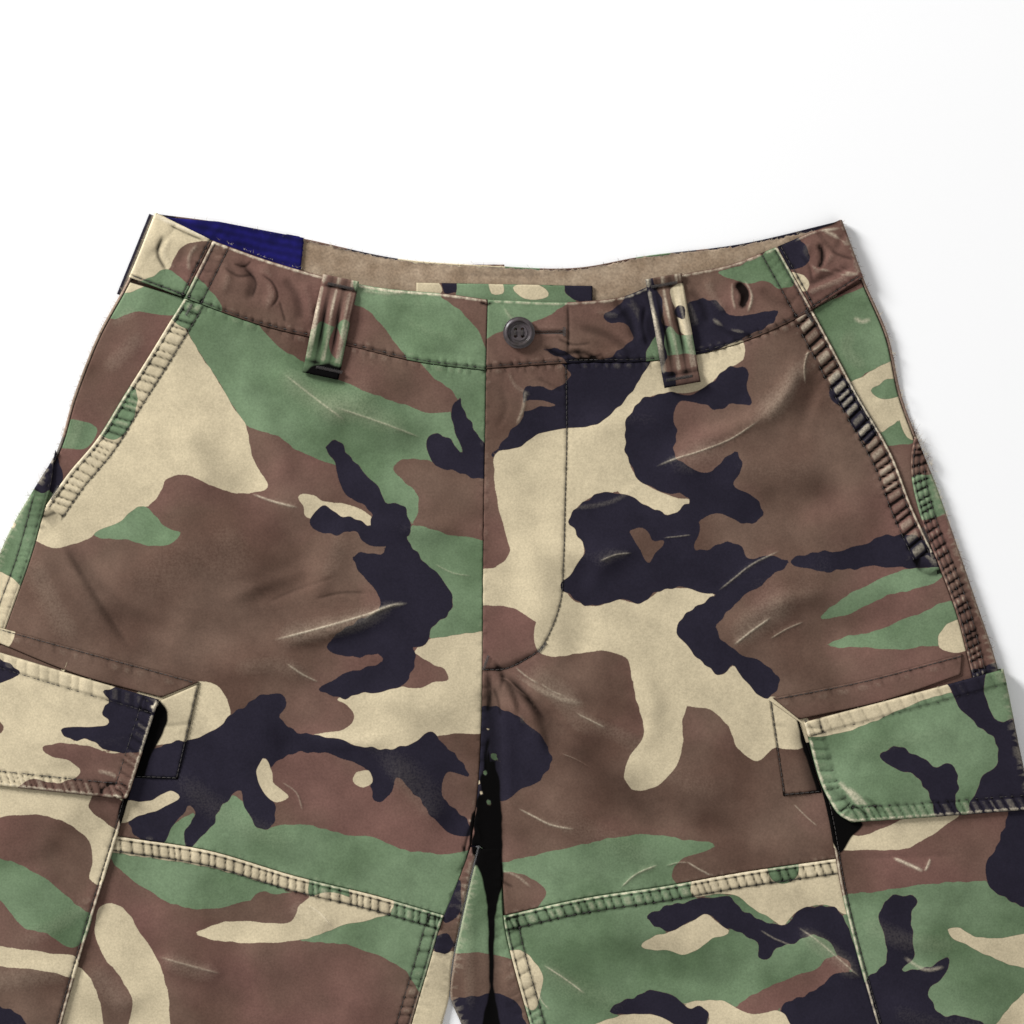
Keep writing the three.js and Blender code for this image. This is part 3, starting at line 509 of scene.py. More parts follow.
def sewn(points, seams):
    """Height, wear and painted shade along stitched seams: pillows between uneven puckers, rubbed pale, with
    painted shade in the troughs between them, and a groove at each row with painted shadow in it.
    """
    height, wear_and_shade = np.zeros(len(points)), np.zeros(len(points))
    for seam in seams:
        line, low, high = seam["line"], seam["near"], seam["far"]
        near = close_to(points, line, max(abs(low), abs(high)) + 8)
        if not len(near):
            continue
        off, along = to_line(points[near], line)
        length = steps(line).sum()
        own = np.random.default_rng(seam.get("seed", 3))
        pitch = seam.get("pitch", 6.5)
        rungs = np.cumsum(own.uniform(0.6, 1.45, int(length / pitch * 1.6) + 12) * pitch) - 4 * pitch
        force = own.uniform(0.45, 1.0, len(rungs))
        place = along + seam.get("slant", 0.25) * off
        k = np.clip(np.searchsorted(rungs, place) - 1, 0, len(rungs) - 2)
        t = np.clip((place - rungs[k]) / (rungs[k + 1] - rungs[k]), 0, 1)
        pillow = np.abs(np.sin(np.pi * t)) ** 0.7 * force[k]
        inside = smooth(low - 1.2, low + 0.8, off) * (1 - smooth(high - 0.8, high + 1.2, off))
        fade = np.exp(-np.maximum(np.maximum(low - off, off - high), 0) / seam.get("spread", 3.0))
        rise = seam["rise"]
        height[near] += rise * (inside * (pillow - 0.35) + 0.35 * (1 - inside) * fade * (pillow - 0.5))
        height[near] += seam.get("raised", 0) * inside
        # pale where the pillows have rubbed; painted shade, much darker, in the troughs between them
        rubbed_and_shaded = np.clip(pillow - 0.45, 0, 1) * 0.8 - np.clip(0.42 - pillow, 0, 1) * 3.6
        wear_and_shade[near] += seam["worn_and_shaded"] * (inside * rubbed_and_shaded + 0.25 * (1 - inside) * fade * np.clip(rubbed_and_shaded, -0.8, 1))
        for row in seam["rows"]:
            groove = np.exp(-(((off - row) / 0.75) ** 2))
            height[near] -= 0.3 * groove
            wear_and_shade[near] -= seam.get("shadow", 0.95) * groove
        if "edge" in seam:
            ridge = np.exp(-(((off - 1.05) / 0.8) ** 4))
            wear_and_shade[near] += seam["edge"] * ridge * (0.8 + 0.2 * np.sin(along * 1.1))
            height[near] += 0.2 * ridge
    return height, wear_and_shade


LOWEST = 2.1  # mm from the table layer's foot up to the top of the upper layer, at least


def top_height(points, level=0.0, seams=(), rows=CREASES):
    """Height, and wear with painted shade, of the upper layer, a level above the front panels."""
    base = height_on(front_top, points) + level
    broad, worn_and_shaded = folded(points, FOLDS)
    crisp, rubbed_and_shaded = folded(points, rows, taper=0.2)
    stitched, seam_wear_and_shade = sewn(points, seams)
    lowest = height_on(back_under, points) + LOWEST + level
    calm = 1.0 if level == 0 else 0.7
    height = np.maximum(base + calm * broad, lowest) + crisp + stitched
    return height, worn_and_shaded * calm + rubbed_and_shaded + seam_wear_and_shade


def under_height(points, field, lift=0.0):
    """Height, and wear with painted shade, of a sheet that lies on the table: pressed flat, with a few
    shallow folds.
    """
    broad, worn_and_shaded = folded(points * [-1, 1] + [30, 40], FOLDS)
    return height_on(field, points) + lift + 0.35 * np.clip(broad, 0, 3), 0.4 * worn_and_shaded


def turn_over(top_line, top_z, low_line, low_z, outwards, bulge, steps=7):
    """The round of cloth between the upper and the lower sheet at a fold."""
    rows = []
    for k in range(steps + 1):
        angle = math.pi * k / steps
        mix = (1 - math.cos(angle)) / 2
        place = top_line * (1 - mix) + low_line * mix
        reach = bulge * math.sin(angle)
        rows.append(np.c_[place + outwards * reach, top_z * (1 - mix) + low_z * mix])
    count = len(top_line)
    faces = []
    for k in range(steps):
        for i in range(count - 1):
            faces.append((k * count + i, k * count + i + 1, (k + 1) * count + i + 1, (k + 1) * count + i))
    return np.vstack(rows), faces


def outward_of(line, side):
    """Unit directions straight out of a line that runs down, to one side of it."""
    along = np.gradient(line, axis=0)
    along /= np.linalg.norm(along, axis=1)[:, None]
    out = np.c_[-along[:, 1], along[:, 0]]
    return out * np.where(out[:, :1] * side < 0, -1, 1)


def new_object(name, points, faces, material, smooth=True):
    """An object of the root body, from points in garment millimetres."""
    mesh = bpy.data.meshes.new(name)
    mesh.from_pydata((np.c_[points[:, :2] + ORIGIN, points[:, 2]] / 1000).tolist(), [], faces)
    mesh.polygons.foreach_set("use_smooth", [smooth] * len(mesh.polygons))
    mesh.materials.append(material)
    obj = bpy.data.objects.new(name, mesh)
    bpy.context.scene.collection.objects.link(obj)
    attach(obj, "root")
    return obj


def select_only(obj):
    bpy.ops.object.select_all(action="DESELECT")
    obj.select_set(True)
    bpy.context.view_layer.objects.active = obj


def cloth_piece(name, parts, nodes, thickness=CLOTH, material=None):
    """Joins sheets (points, faces, shades, wear with painted shade) in garment millimetres into one shell of
    cloth."""
    points = np.vstack([part[0] for part in parts])
    faces, first = [], 0
    for part in parts:
        faces += [tuple(v + first for v in face) for face in part[1]]
        first += len(part[0])
    obj = new_object(name, points, faces, material or camouflage_twill)
    for key in (*SHADES, "wear_and_shade"):
        values = np.concatenate([part[3] if key == "wear_and_shade" else part[2][key] for part in parts])
        attribute = obj.data.attributes.new(key, "FLOAT", "POINT")
        attribute.data.foreach_set("value", values.astype(np.float32))
    select_only(obj)
    if len(parts) > 1:
        bpy.ops.object.mode_set(mode="EDIT")
        bpy.ops.mesh.select_all(action="SELECT")
        bpy.ops.mesh.remove_doubles(threshold=2e-5)
        bpy.ops.mesh.normals_make_consistent(inside=False)
        bpy.ops.object.mode_set(mode="OBJECT")
    wall = obj.modifiers.new("wall", "SOLIDIFY")
    wall.thickness = thickness / 1000
    wall.offset = -1
    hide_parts(*nodes)


def linear(code):
    """An sRGB hex colour as linear numbers."""
    values = [int(code[k:k + 2], 16) / 255 for k in (1, 3, 5)]
    values = [v / 12.92 if v <= 0.04045 else ((v + 0.055) / 1.055) ** 2.4 for v in values]
    return (*values, 1.0)


def add(material, kind, links=(), **settings):
    """Adds a node with its settings; links are (input, output socket of another node)."""
    node = material.node_tree.nodes.new("ShaderNode" + kind)
    for key, value in settings.items():
        if key.startswith("in_"):
            node.inputs[int(key[3:])].default_value = value
        else:
            setattr(node, key, value)
    for target, source in links:
        material.node_tree.links.new(source, node.inputs[target])
    return node


def blank_material(name, roughness, specular=0.5):
    """A new material, its shader and the place on the object, for textures to go by."""
    material = bpy.data.materials.new(name)
    material.use_nodes = True
    shader = material.node_tree.nodes["Principled BSDF"]
    shader.inputs["Roughness"].default_value = roughness
    shader.inputs["Specular IOR Level"].default_value = specular
    return material, shader, add(material, "TexCoord").outputs["Object"]


def noise(material, place, scale, detail, rough=0.5, **more):
    return add(material, "TexNoise", [(0, place)], in_2=scale, in_3=detail, in_4=rough, **more).outputs[0]


def spread(material, value, low, high, start=0.0, end=1.0):
    """Stretches a value that goes from low to high so that it goes from start to end."""
    return add(material, "MapRange", [(0, value)], in_1=low, in_2=high, in_3=start, in_4=end).outputs[0]


def blend(material, share, first, second):
    """Mixes two colours, each of them a hex code or the output of a node."""
    node = add(material, "Mix", [(0, share)], data_type="RGBA")
    for socket, colour in ((6, first), (7, second)):
        if isinstance(colour, str):
            node.inputs[socket].default_value = linear(colour)
        else:
            material.node_tree.links.new(colour, node.inputs[socket])
    return node.outputs[2]


def scaled(material, colour, level):
    return add(material, "VectorMath", [(0, colour), (3, level)], operation="SCALE").outputs[0]


def bump(material, height, strength, distance, under=None):
    """A bump of so many metres, laid over another one if there is one."""
    node = add(material, "Bump", [(2, height)] + ([("Normal", under)] if under else []), in_0=strength)
    node.inputs["Distance"].default_value = distance
    return node.outputs[0]


def finish(material, shader, colour, normal=None):
    material.node_tree.links.new(colour, shader.inputs["Base Color"])
    if normal:
        material.node_tree.links.new(normal, shader.inputs["Normal"])
    return material


# Printed cotton twill, 240 g a square metre, garment washed: matt, a little hairy, the print rubbed
# pale along edges and creases and the ink sunk unevenly into the yarns; shade is painted in, dark, in
# creases, troughs and seams, and painted shadow in the gaps.
SAND, GREEN, BROWN, BLACK = "#C4B698", "#74886A", "#6D584C", "#26232E"
DEEP_GREEN, DEEP_BROWN, RUDDY_BROWN = "#586B4F", "#59443A", "#75554E"
PALE_YARN, DEEP_SHADE = "#D9CDB4", "#040303"


def twill_material():
    material, shader, place = blank_material("printed cotton twill", 0.9, 0.07)
    ragged = noise(material, place, 900.0, 2.0)
    patchy = noise(material, place, 17.0, 4.0)
    clouds = noise(material, place, 46.0, 5.0, 0.62)
    speckle = noise(material, place, 800.0, 3.0, 0.65)
    uneven = add(material, "Math", [(0, ragged)], operation="MULTIPLY_ADD", in_1=0.6, in_2=-0.3).outputs[0]
    # brown and green drift between a fresher and a duller mix over some centimetres, as the ink took
    drift = spread(material, patchy, 0.38, 0.64)
    warmth = noise(material, place, 9.0, 3.0, noise_dimensions="4D", in_1=3.0)
    ruddy = spread(material, warmth, 0.47, 0.62, end=0.75)
    colour = blend(material, ruddy, blend(material, drift, BROWN, DEEP_BROWN), RUDDY_BROWN)
    inks = {"sand": SAND, "green": blend(material, drift, GREEN, DEEP_GREEN), "black": BLACK}
    for key, ink in inks.items():
        distance = add(material, "Attribute", attribute_name=key).outputs["Fac"]
        off = add(material, "Math", [(0, distance), (1, uneven)], operation="ADD").outputs[0]
        colour = blend(material, spread(material, off, 0.2, -0.2), colour, ink)
    # pale where it has rubbed; painted shade in creases, troughs and seams, and painted shadow in the gaps
    wear_and_shade = add(material, "Attribute", attribute_name="wear_and_shade").outputs["Fac"]
    broken = spread(material, speckle, 0.25, 0.6, start=0.45)
    rubbed_and_shaded = add(material, "Math", [(0, wear_and_shade), (1, broken)], operation="MULTIPLY").outputs[0]
    colour = blend(material, spread(material, rubbed_and_shaded, 0.03, 1.0, end=0.9), colour, PALE_YARN)
    colour = blend(material, spread(material, wear_and_shade, -0.04, -1.1, end=0.96), colour, DEEP_SHADE)
    gap = add(material, "Attribute", attribute_name="gap").outputs["Fac"]
    colour = blend(material, spread(material, gap, 0.5, -0.5), colour, DEEP_SHADE)
    light = spread(material, speckle, 0.3, 0.7, 0.86, 1.13)
    tone = spread(material, clouds, 0.3, 0.7, 0.84, 1.14)
    level = add(material, "Math", [(0, light), (1, tone)], operation="MULTIPLY").outputs[0]
    # twill lines 0.9 mm apart, two or three times as coarse as the real yarns so that they show
    slanted = add(material, "Mapping", [(0, place)])
    slanted.inputs["Rotation"].default_value = (0, 0, math.radians(62))
    twill = add(material, "TexWave", [(0, slanted.outputs[0])], in_1=1000 / 0.9 / 20, in_2=1.5, in_3=2.0)
    weave = bump(material, twill.outputs["Fac"], 0.22, 0.00025)
    soft = bump(material, noise(material, place, 50.0, 6.0, 0.6), 0.8, 0.0034, under=weave)
    return finish(material, shader, scaled(material, colour, level), soft)


camouflage_twill = twill_material()

# The print is charted in garment millimetres, piece by piece, because it breaks at each seam.
# Each row is a patch's colour and places round its edge; later rows print over earlier ones.
RIGHT_FRONT = patches("""
green -178,250 -169,227 -160,210 -150,195 -140,178 -131,166 -115,161 -100,151 -80,143 -66,136 -52,122
-36,106 -12,101 16,94 16,208 -30,208 -20,196 -12,190 -5,182 -8,176 -16,174 -40,180 -60,187 -76,194 -100,206
-115,216 -128,231;
brown -44,141 -38,146 -26,146 -12,141 16,131 16,93 -10,101 -34,105 -29,114 -29,124 -37,133;
green -36,105 -10,101 16,95 16,37 -10,38 -24,40 -16,60 -22,80 -34,95;
sand -119,130 -129,126 -143,127 -152,130 -160,134 -173,137 -179,135 -184,126 -192,117 -205,110 -222,101
-234,96 -246,93 -262,100 -268,120 -244,164 -216,206 -186,250 -174,252 -169,227 -160,210 -150,195 -140,178
-132,166 -129,150 -124,139;
green -210,194 -199,188 -212,158 -222,163;
green -174,246 -160,238 -165,225 -178,232;
green -194,118 -187,113 -180,105 -171,102 -177,96 -188,94 -200,97 -224,101 -208,109;
sand -101,124 -93,125 -85,121 -70,119 -60,114 -53,108 -51,101 -58,104 -66,109 -76,112 -88,117 -92,110
-96,112 -98,118;
sand 16,42 -10,40 -22,38 -31,31 -32,20 -38,10 -50,8 -62,6 -77,2 -70,-3 -67,-10 -72,-15 -84,-18 -92,-19
-80,-22 -68,-25 -58,-28 -46,-28 -34,-26 -22,-21 -10,-19 16,-17;
brown -33,30 -22,24 -12,19 -11,14 -20,12 -28,9 -39,10;
black -84,155 -79,158 -72,151 -64,141 -54,131 -48,121 -38,118 -34,102 -46,96 -58,105 -56,112 -64,120
-74,127 -78,142;
black -56,106 -66,110 -76,113 -86,118 -94,109 -89,103 -79,101 -68,103 -60,96 -48,94 -44,102;
black -36,106 -34,96 -28,88 -18,78 -10,68 -9,55 -19,47 -24,36 -40,33 -58,50 -51,60 -60,74 -68,88 -58,90
-50,90 -46,98;
black -54,53 -66,49 -76,42 -84,34 -74,28 -56,29 -42,30 -34,44 -44,54;
black -34,38 -31,28 -32,19 -38,11 -48,7 -60,6 -76,3 -88,8 -78,15 -62,21 -50,25 -54,31 -44,37;
black -4,183 0,173 4,166 11,155 16,138 8,134 -2,138 -15,141 -21,146 -24,154 -19,162 -14,161 -8,156 -3,150
-3,154 -7,164 -9,172;
sand -195,9 -175,10 -160,13 -148,9 -143,0 -142,-10 -152,-18 -166,-23 -195,-26;
green -188,-88 -174,-72 -156,-62 -140,-56 -132,-60 -122,-75 -108,-73 -92,-74 -74,-79 -52,-82 -42,-87
-26,-90 -8,-91 12,-86 12,-140 -60,-128 -110,-114 -160,-100 -192,-92;
black -195,-23 -166,-22 -152,-17 -143,-9 -132,-1 -121,5 -111,5 -108,-2 -112,-9 -104,-16 -80,-21 -58,-27
-36,-26 -20,-18 -11,-28 -2,-36 1,-44 -12,-42 -13,-58 0,-70 3,-80 -12,-77 -22,-66 -33,-52 -42,-45 -46,-56
-52,-60 -58,-50 -58,-42 -68,-36 -82,-31 -98,-30 -112,-34 -119,-46 -115,-62 -117,-75 -124,-75 -132,-64
-136,-53 -145,-60 -153,-74 -168,-86 -170,-80 -163,-68 -165,-62 -175,-73 -185,-86 -198,-80;
sand -206,-60 -190,-59 -176,-53 -172,-56 -182,-63 -196,-68 -208,-72;
sand -121,-33 -117,-41 -116,-47 -107,-57 -114,-60 -122,-53 -126,-42;
sand -66,-42 -58,-41 -57,-49 -63,-51 -68,-47""")
LEFT_FRONT = patches("""
black 16,148 30,152 44,160 62,164 78,166 94,174 103,188 112,202 120,216 58,216 57,204 63,196 56,190 34,188
35,178 33,170 26,162;
brown 34,176 45,178 54,178 48,181 35,180;
sand 18,150 30,153 45,162 62,165 78,167 96,178 100,172 97,158 97,144 90,127 78,125 66,116 62,109 66,104
71,91 64,78 57,70 54,44 40,50 28,57 4,61 4,79 19,82 26,90 23,104 19,120 17,136;
sand 93,175 101,189 108,200 114,210 150,218 166,217 167,207 156,200 147,192 138,187 122,186 106,182 97,168;
sand 94,152 103,135 114,128 127,123 135,122 132,116 120,113 109,118 92,126 84,140;
sand 57,74 63,63 76,58 92,62 104,60 118,68 132,69 142,69 150,64 142,56 130,49 127,43 134,33 146,21 150,8
132,-1 116,2 101,12 96,27 84,31 70,30 58,28 44,30 41,44 46,58;
sand 101,14 104,-4 107,-18 98,-33 95,-45 102,-53 112,-51 124,-41 130,-27 130,-12 133,1 128,22;
sand 126,22 146,21 154,17 160,22 168,14 174,7 184,4 204,-8 210,-28 186,-27 174,-35 164,-28 156,-12 146,-4
132,-1;
black 98,173 106,182 118,186 138,186 150,195 160,202 168,201 169,190 171,180 158,179 150,176 141,180
128,180 124,172 127,164 125,156 126,148 138,140 146,138 154,146 163,150 166,144 161,131 168,126 177,120
178,113 169,107 158,112 146,113 136,108 134,122 114,128 104,134 97,148;
black 61,109 66,116 78,125 92,126 108,119 122,113 134,119 140,108 138,90 150,80 150,66 132,69 118,68 104,60
92,62 76,58 64,63 57,70 64,79 71,91 66,103;
black 134,90 148,93 158,97 165,94 168,88 182,88 194,85 186,78 176,70 164,62 153,50 146,46 140,56 150,64
138,76;
black 150,64 138,57 128,49 127,42 135,32 147,20 154,17 160,22 168,13 174,6 182,3 188,11 185,19 176,25
164,30 154,38 150,46 156,55;
brown 99,104 108,104 112,98 119,97 114,90 110,84 105,91;
black 4,-4 20,-3 32,-9 42,-17 50,-28 51,-36 46,-45 34,-52 20,-60 2,-62;
green 14,-99 32,-94 48,-90 66,-86 88,-81 110,-79 130,-82 150,-86 138,-91 128,-95 124,-101 130,-116 14,-140;
brown 14,-103 32,-103 42,-107 48,-114 44,-122 14,-130;
black 195,85 206,90 222,91 238,95 250,100 264,101 280,96 292,82 280,81 262,81 246,82 228,80 212,79;
green 213,51 220,58 230,65 244,72 260,79 274,81 290,80 281,72 268,68 252,64 238,57 226,52;
green 217,35 230,40 246,43 260,49 276,55 292,61 300,50 296,36 276,34 260,32 244,33;
sand 284,34 284,41 289,47 302,50 304,33;
black 222,198 233,191 248,164 241,156 229,173 218,187""")
RIGHT_THIGH = patches("""
green -330,-60 -250,-74 -214,-80 -214,-92 -206,-102 -192,-112 -176,-121 -155,-124 -135,-120 -120,-116
-96,-112 -60,-100 -150,-70 -300,-40;
green -40,-100 0,-110 -4,-140 -26,-176 -36,-162 -46,-155 -58,-150 -74,-145 -90,-144 -102,-142 -88,-137
-70,-132 -52,-127;
sand -330,-48 -220,-72 -154,-82 -103,-97 -46,-111 -44,-124 -60,-122 -100,-114 -154,-99 -212,-90 -330,-66;
green -94,-104 -72,-108 -70,-121 -93,-118;
sand -162,-139 -150,-133 -135,-131 -118,-132 -108,-129 -98,-120 -90,-115 -60,-120 -45,-126 -56,-130
-75,-134 -90,-140 -103,-143 -120,-144 -136,-144 -153,-142;
brown -124,-114 -110,-117 -101,-124 -104,-130 -120,-132 -132,-125;
sand -219,-122 -210,-121 -202,-128 -196,-138 -187,-151 -181,-166 -178,-186 -180,-206 -203,-208 -201,-176
-209,-163 -219,-150 -223,-134;
sand -234,-158 -224,-168 -220,-180 -219,-204 -256,-206 -248,-180;
green -170,-215 -130,-205 -90,-215 -60,-240 -92,-262 -140,-258 -175,-240;
black -262,-218 -240,-214 -208,-226 -190,-250 -212,-278 -246,-266 -268,-240;
sand -110,-268 -72,-262 -52,-280 -90,-302 -132,-290;
green -360,-226 -310,-222 -290,-238 -320,-262 -380,-250""")
LEFT_THIGH = patches("""
green all;
sand 138,-98 240,-82 262,-92 250,-130 228,-127 218,-122 204,-123 196,-128 190,-134 182,-129 170,-122
163,-116 150,-115 136,-116;
green 181,-100 200,-97 197,-106 190,-109 184,-106;
black 109,-128 116,-124 130,-120 146,-117 158,-117 168,-126 182,-132 190,-134 200,-125 212,-122 224,-125
231,-140 240,-160 240,-168 226,-155 217,-143 210,-139 200,-143 188,-147 180,-154 176,-153 175,-144 166,-139
154,-134 146,-128 138,-130 124,-137 113,-134;
sand 105,-146 112,-141 124,-137 136,-131 144,-127 150,-131 158,-138 148,-142 138,-149 131,-152 122,-149
112,-149;
brown 162,-184 170,-177 182,-171 198,-164 210,-160 218,-153 225,-152 231,-158 222,-166 212,-173 200,-179
186,-184 172,-187;
black 189,-184 196,-178 206,-175 214,-169 222,-163 230,-161 240,-166 248,-180 262,-215 230,-226 200,-210;
sand 130,-181 142,-179 154,-179 162,-183 172,-187 188,-185 198,-206 170,-214 140,-204 146,-189;
black 86,-184 92,-180 98,-178 104,-175 112,-173 120,-174 128,-179 134,-183 142,-183 146,-189 140,-197
130,-195 120,-190 108,-187 96,-188;
sand 76,-196 92,-188 108,-187 122,-191 130,-202 104,-210 82,-204;
sand 22,-150 33,-149 40,-154 46,-164 45,-174 40,-185 33,-180 27,-165;
brown 50,-226 90,-216 140,-222 186,-240 160,-268 100,-272 60,-256;
black 250,-240 290,-232 330,-238 352,-222 330,-208 280,-214 240,-222;
sand 80,-290 120,-280 160,-284 180,-272 150,-296 90,-302""")
SIDE_STRIPS = {  # what shows of the back panels on top: felled outseams and the insides of the legs
    "right": patches("""
brown -30,-60 20,-70 20,-153 -40,-153;
sand -4,-152 -40,-154 -60,-250 -20,-250 -8,-192;
black -4,-106 -9,-112 -13,-124 -13,-132 -7,-131 -3,-118;
black -18,-141 -9,-140 -9,-149 -19,-150;
green -60,-250 -20,-250 -30,-310 -80,-310;
green -280,134 -262,130 -246,128 -240,108 -254,88 -264,60 -270,44 -300,48 -292,84;
black -276,158 -240,158 -243,136 -250,127 -262,129 -272,136;
sand -290,120 -273,115 -271,106 -279,101 -294,104;
sand -298,76 -278,78 -266,66 -268,52 -280,38 -306,28;
green -310,10 -284,16 -296,-40 -322,-30;
black -330,-110 -300,-90 -320,-160 -360,-150;
sand -350,-160 -330,-150 -350,-215 -376,-205"""),
    "left": patches("""
green -20,-82 24,-82 26,-160 -20,-160;
brown -20,-158 32,-158 40,-190 -10,-190;
black -16,-184 6,-176 28,-178 36,-192 44,-230 0,-230;
green 4,-238 50,-236 66,-300 24,-300;
green 262,132 284,136 292,118 274,110;
black 292,8 330,24 332,-10 306,-16;
green 306,-16 340,-10 352,-90 318,-90;
sand 330,-120 358,-116 372,-170 344,-170"""),
}


def far_side(chart, turn, shift):
    """The print on a side that lies face down: the same cloth, from another length of the roll."""
    rows = []
    for colour, places in chart:
        if places != "all":
            places = " ".join(f"{x * turn + shift[0]:.1f},{y + shift[1]:.1f}" for x, y in spots(places))
        rows.append((colour, places))
    return rows


# Painted shadow in the deep fold between the legs, with a few flecks of print in it.
CROTCH_SHADOW = patches("""
gap 11,-30 12.5,-35 13.5,-29 15,-36 17,-31 18,-40 19.5,-44 20.5,-56 21.5,-68 21.8,-90 21.6,-112 19.5,-118
18,-126 17,-142 16.6,-170 16,-206 14,-206 14,-170 13.4,-146 13,-128 11,-112 9,-104 6,-97 4,-92 3,-84 5,-78
4,-72 6,-66 6.5,-58 9,-52 8.5,-46 10.5,-40;
green 10.2,-41 12,-40 12.6,-43 10.8,-44;
sand 8.4,-53 10,-53.5 9.6,-56 8,-55.5;
green 12.6,-58 14.4,-59 14,-62 12.4,-61;
sand 6.6,-47 8,-46.6 8.2,-49 7,-49;
green 15,-31 19.4,-31.6 18.4,-33 20.4,-35.4 16.4,-34.4;
sand 11.4,-14.6 14.6,-16.4 12.6,-16.4""")
SIDE_STRIPS["right"] += CROTCH_SHADOW
SIDE_STRIPS["left"] += CROTCH_SHADOW
# and painted shadow where the right front dips into that fold
RIGHT_FRONT.append(("gap", "4,-66 10,-60 10,-84 6,-90 0,-96 2,-84"))
BACK_PRINT = {
    "right": [row for row in far_side(LEFT_FRONT[1:] + LEFT_THIGH[1:], -1, (8, -26)) if row[0] != "gap"],
    "left": far_side([row for row in RIGHT_FRONT + RIGHT_THIGH if row[0] != "gap"], -1, (16, 22)),
}
FOLD_ROUND = 1.6  # how far the round of a folded edge stands out
to_stitch = []  # each sheet's outline, seams and heights, for the thread that is sewn in last


def strip_sheet(sides, chart, heights, seams=(), rows=CREASES, coarse=3.0):
    """A finished sheet of cloth, face up: its points with heights, faces, print, and wear with painted shade.
    Its free edges are rounded off, and painted darker with shade as they drop, where they meet another piece."""
    flat, faces, outline = lay_sheet(sides, chart, seams, coarse, rows)
    z, wear_and_shade = heights(flat)
    fall = rolled(flat, sides)
    # painted shade where a rounded edge drops
    z, wear_and_shade = z - fall, wear_and_shade - 1.6 * fall
    to_stitch.append((outline, seams, heights))
    return np.c_[flat, z], faces, camouflage(flat, chart), wear_and_shade


def under_sheet(sides, chart, heights, coarse):
    """A sheet that lies face down on the table, its points with heights, faces, print, and wear with painted
    shade.
    """
    flat, faces, _ = lay_sheet(sides, chart, coarse=coarse)
    z, wear_and_shade = heights(flat)
    return np.c_[flat, z + rolled(flat, sides)], [face[::-1] for face in faces], camouflage(flat, chart), wear_and_shade


def folded_round(line, side, top_heights, low_heights, chart, bulge=FOLD_ROUND):
    """The turned edge that joins an upper and a lower sheet along the same line."""
    top_z, wear_and_shade = top_heights(line)
    low_z, _ = low_heights(line)
    rows, faces = turn_over(line, top_z, line, low_z, outward_of(line, side), bulge)
    shades = {key: np.tile(value, len(rows) // len(line)) for key, value in camouflage(line, chart).items()}
    return rows, faces, shades, np.tile(wear_and_shade, len(rows) // len(line)) + 0.25


def seam(line, toward, near, far, rise, pitch, worn_and_shaded, **more):
    """A stitched seam: its puckers lie between near and far from the line, on the side of a given place."""
    if to_line(np.array([toward], float), line)[0][0] < 0:
        line = line[::-1]
    return dict(line=line, near=near, far=far, rise=rise, pitch=pitch, worn_and_shaded=worn_and_shaded, **{"rows": (), **more})


for leg, side in SIGN.items():
    chart = SIDE_STRIPS[leg]
    fold = moved(inner_fold[leg], side * FOLD_ROUND)[1:]
    hip = moved(side_line[leg], -side * FOLD_ROUND)
    hip = between(hip, 255, hip[-1, 1])
    inseam = inseam_line[leg]
    seat = curve([p for p in SEAT_SEAM if side * (p[0] - 12) >= -1])
    seat = seat if side > 0 else seat[::-1]
    low = lambda points: under_height(points, back_under)
    # the sheet on the table
    hem = curve([fold[-1], hip[-1]], step=3)
    centre = curve(CENTRE_BACK)
    bottom = [(np.vstack([centre, fold[:1]]), True), (fold, False), (hem, True), (hip[::-1], False),
              (np.vstack([hip[:1], seat[::-1]]), True)]
    parts = [under_sheet(bottom, BACK_PRINT[leg], low, coarse=4.6)]
    # the strip at the inside leg, with its fold
    strip_seam = between(inseam, fold[0, 1], inseam[-1, 1])
    beside = [seam(strip_seam, (0, -200), 0.8, 9, 0.5, 6, 0.25, seed=5)]
    inner = ring_round(fold, strip_seam, (False, True))
    high = lambda points: top_height(points, seams=beside)
    parts.append(strip_sheet(inner, chart, high, rows=()))
    parts.append(folded_round(fold, -side, high, low, chart))
    # the felled strip at the outside, from the pocket's tip to the hem
    fell_top = curve(FELL_TOP[leg])
    fell = np.vstack([fell_top[:-1], outseam_line[leg]])
    felled = [seam(fell, (side * 420, -100), 1.0, 8.6, 0.75 + 0.3 * side, 5, 0.75 + 0.45 * side, raised=0.35,
                   edge=0.6, rows=(1.6, 4.8, 8.2) if side > 0 else (1.6, 8.2), seed=11)]
    hip_low = between(hip, fell[0, 1] - 3, hip[-1, 1])
    outer = ring_round(fell, hip_low, (True, False))
    high = lambda points: top_height(points, seams=felled)
    parts.append(strip_sheet(outer, chart, high, felled, rows=()))
    parts.append(folded_round(hip_low, side, high, low, chart))
    hip_high = between(hip, 255, fell[0, 1] - 3)  # beside the pocket, a layer lower
    high = lambda points: (top_height(points)[0] - LAYER, top_height(points)[1])
    parts.append(folded_round(hip_high, side, high, low, chart))
    cloth_piece(leg + "_back_cloth", parts, [leg + "_back_panel"])

# ==================================================================================================
# Hand pockets
# The facing that shows behind each slanted pocket mouth: a single layer of the same twill, sewn into
# the waistband and the outseam, with the front panel's stitched edge lying over it.
# ==================================================================================================
POCKET_EDGE = {
    "right": spots("-169,243 -187,214 -206,184 -223,157 -239,138 -253,118"),
    "left": spots("208,236 221,212 233.5,188.5 257,147 268.5,117 281,90"),
}
pocket_edge = {leg: curve(POCKET_EDGE[leg]) for leg in SIGN}
FACING_PRINT = {
    "right": patches("""
green -220,240 -198,250 -184,258 -172,252 -166,240 -176,233 -196,235 -216,232;
sand -222,246 -205,246 -190,252 -182,262 -206,258;
green -256,164 -222,164 -228,153 -240,153 -256,152;
black -270,156 -249,152 -243,140 -247,124 -270,122;
green -276,130 -250,127 -238,108 -276,100"""),
    "left": patches("""
green 200,236 220,242 248,250 262,236 262,206 248,202 238,196 231,191 210,204;
sand 228,190 240,197 252,204 266,208 280,176 262,162 244,160 232,176;
green 243,188 248,191 256,195 266,190 260,184 247,184;
green 240,159 254,165 266,173 278,172 276,160;
sand 262,180 272,182 276,158 268,158"""),
}
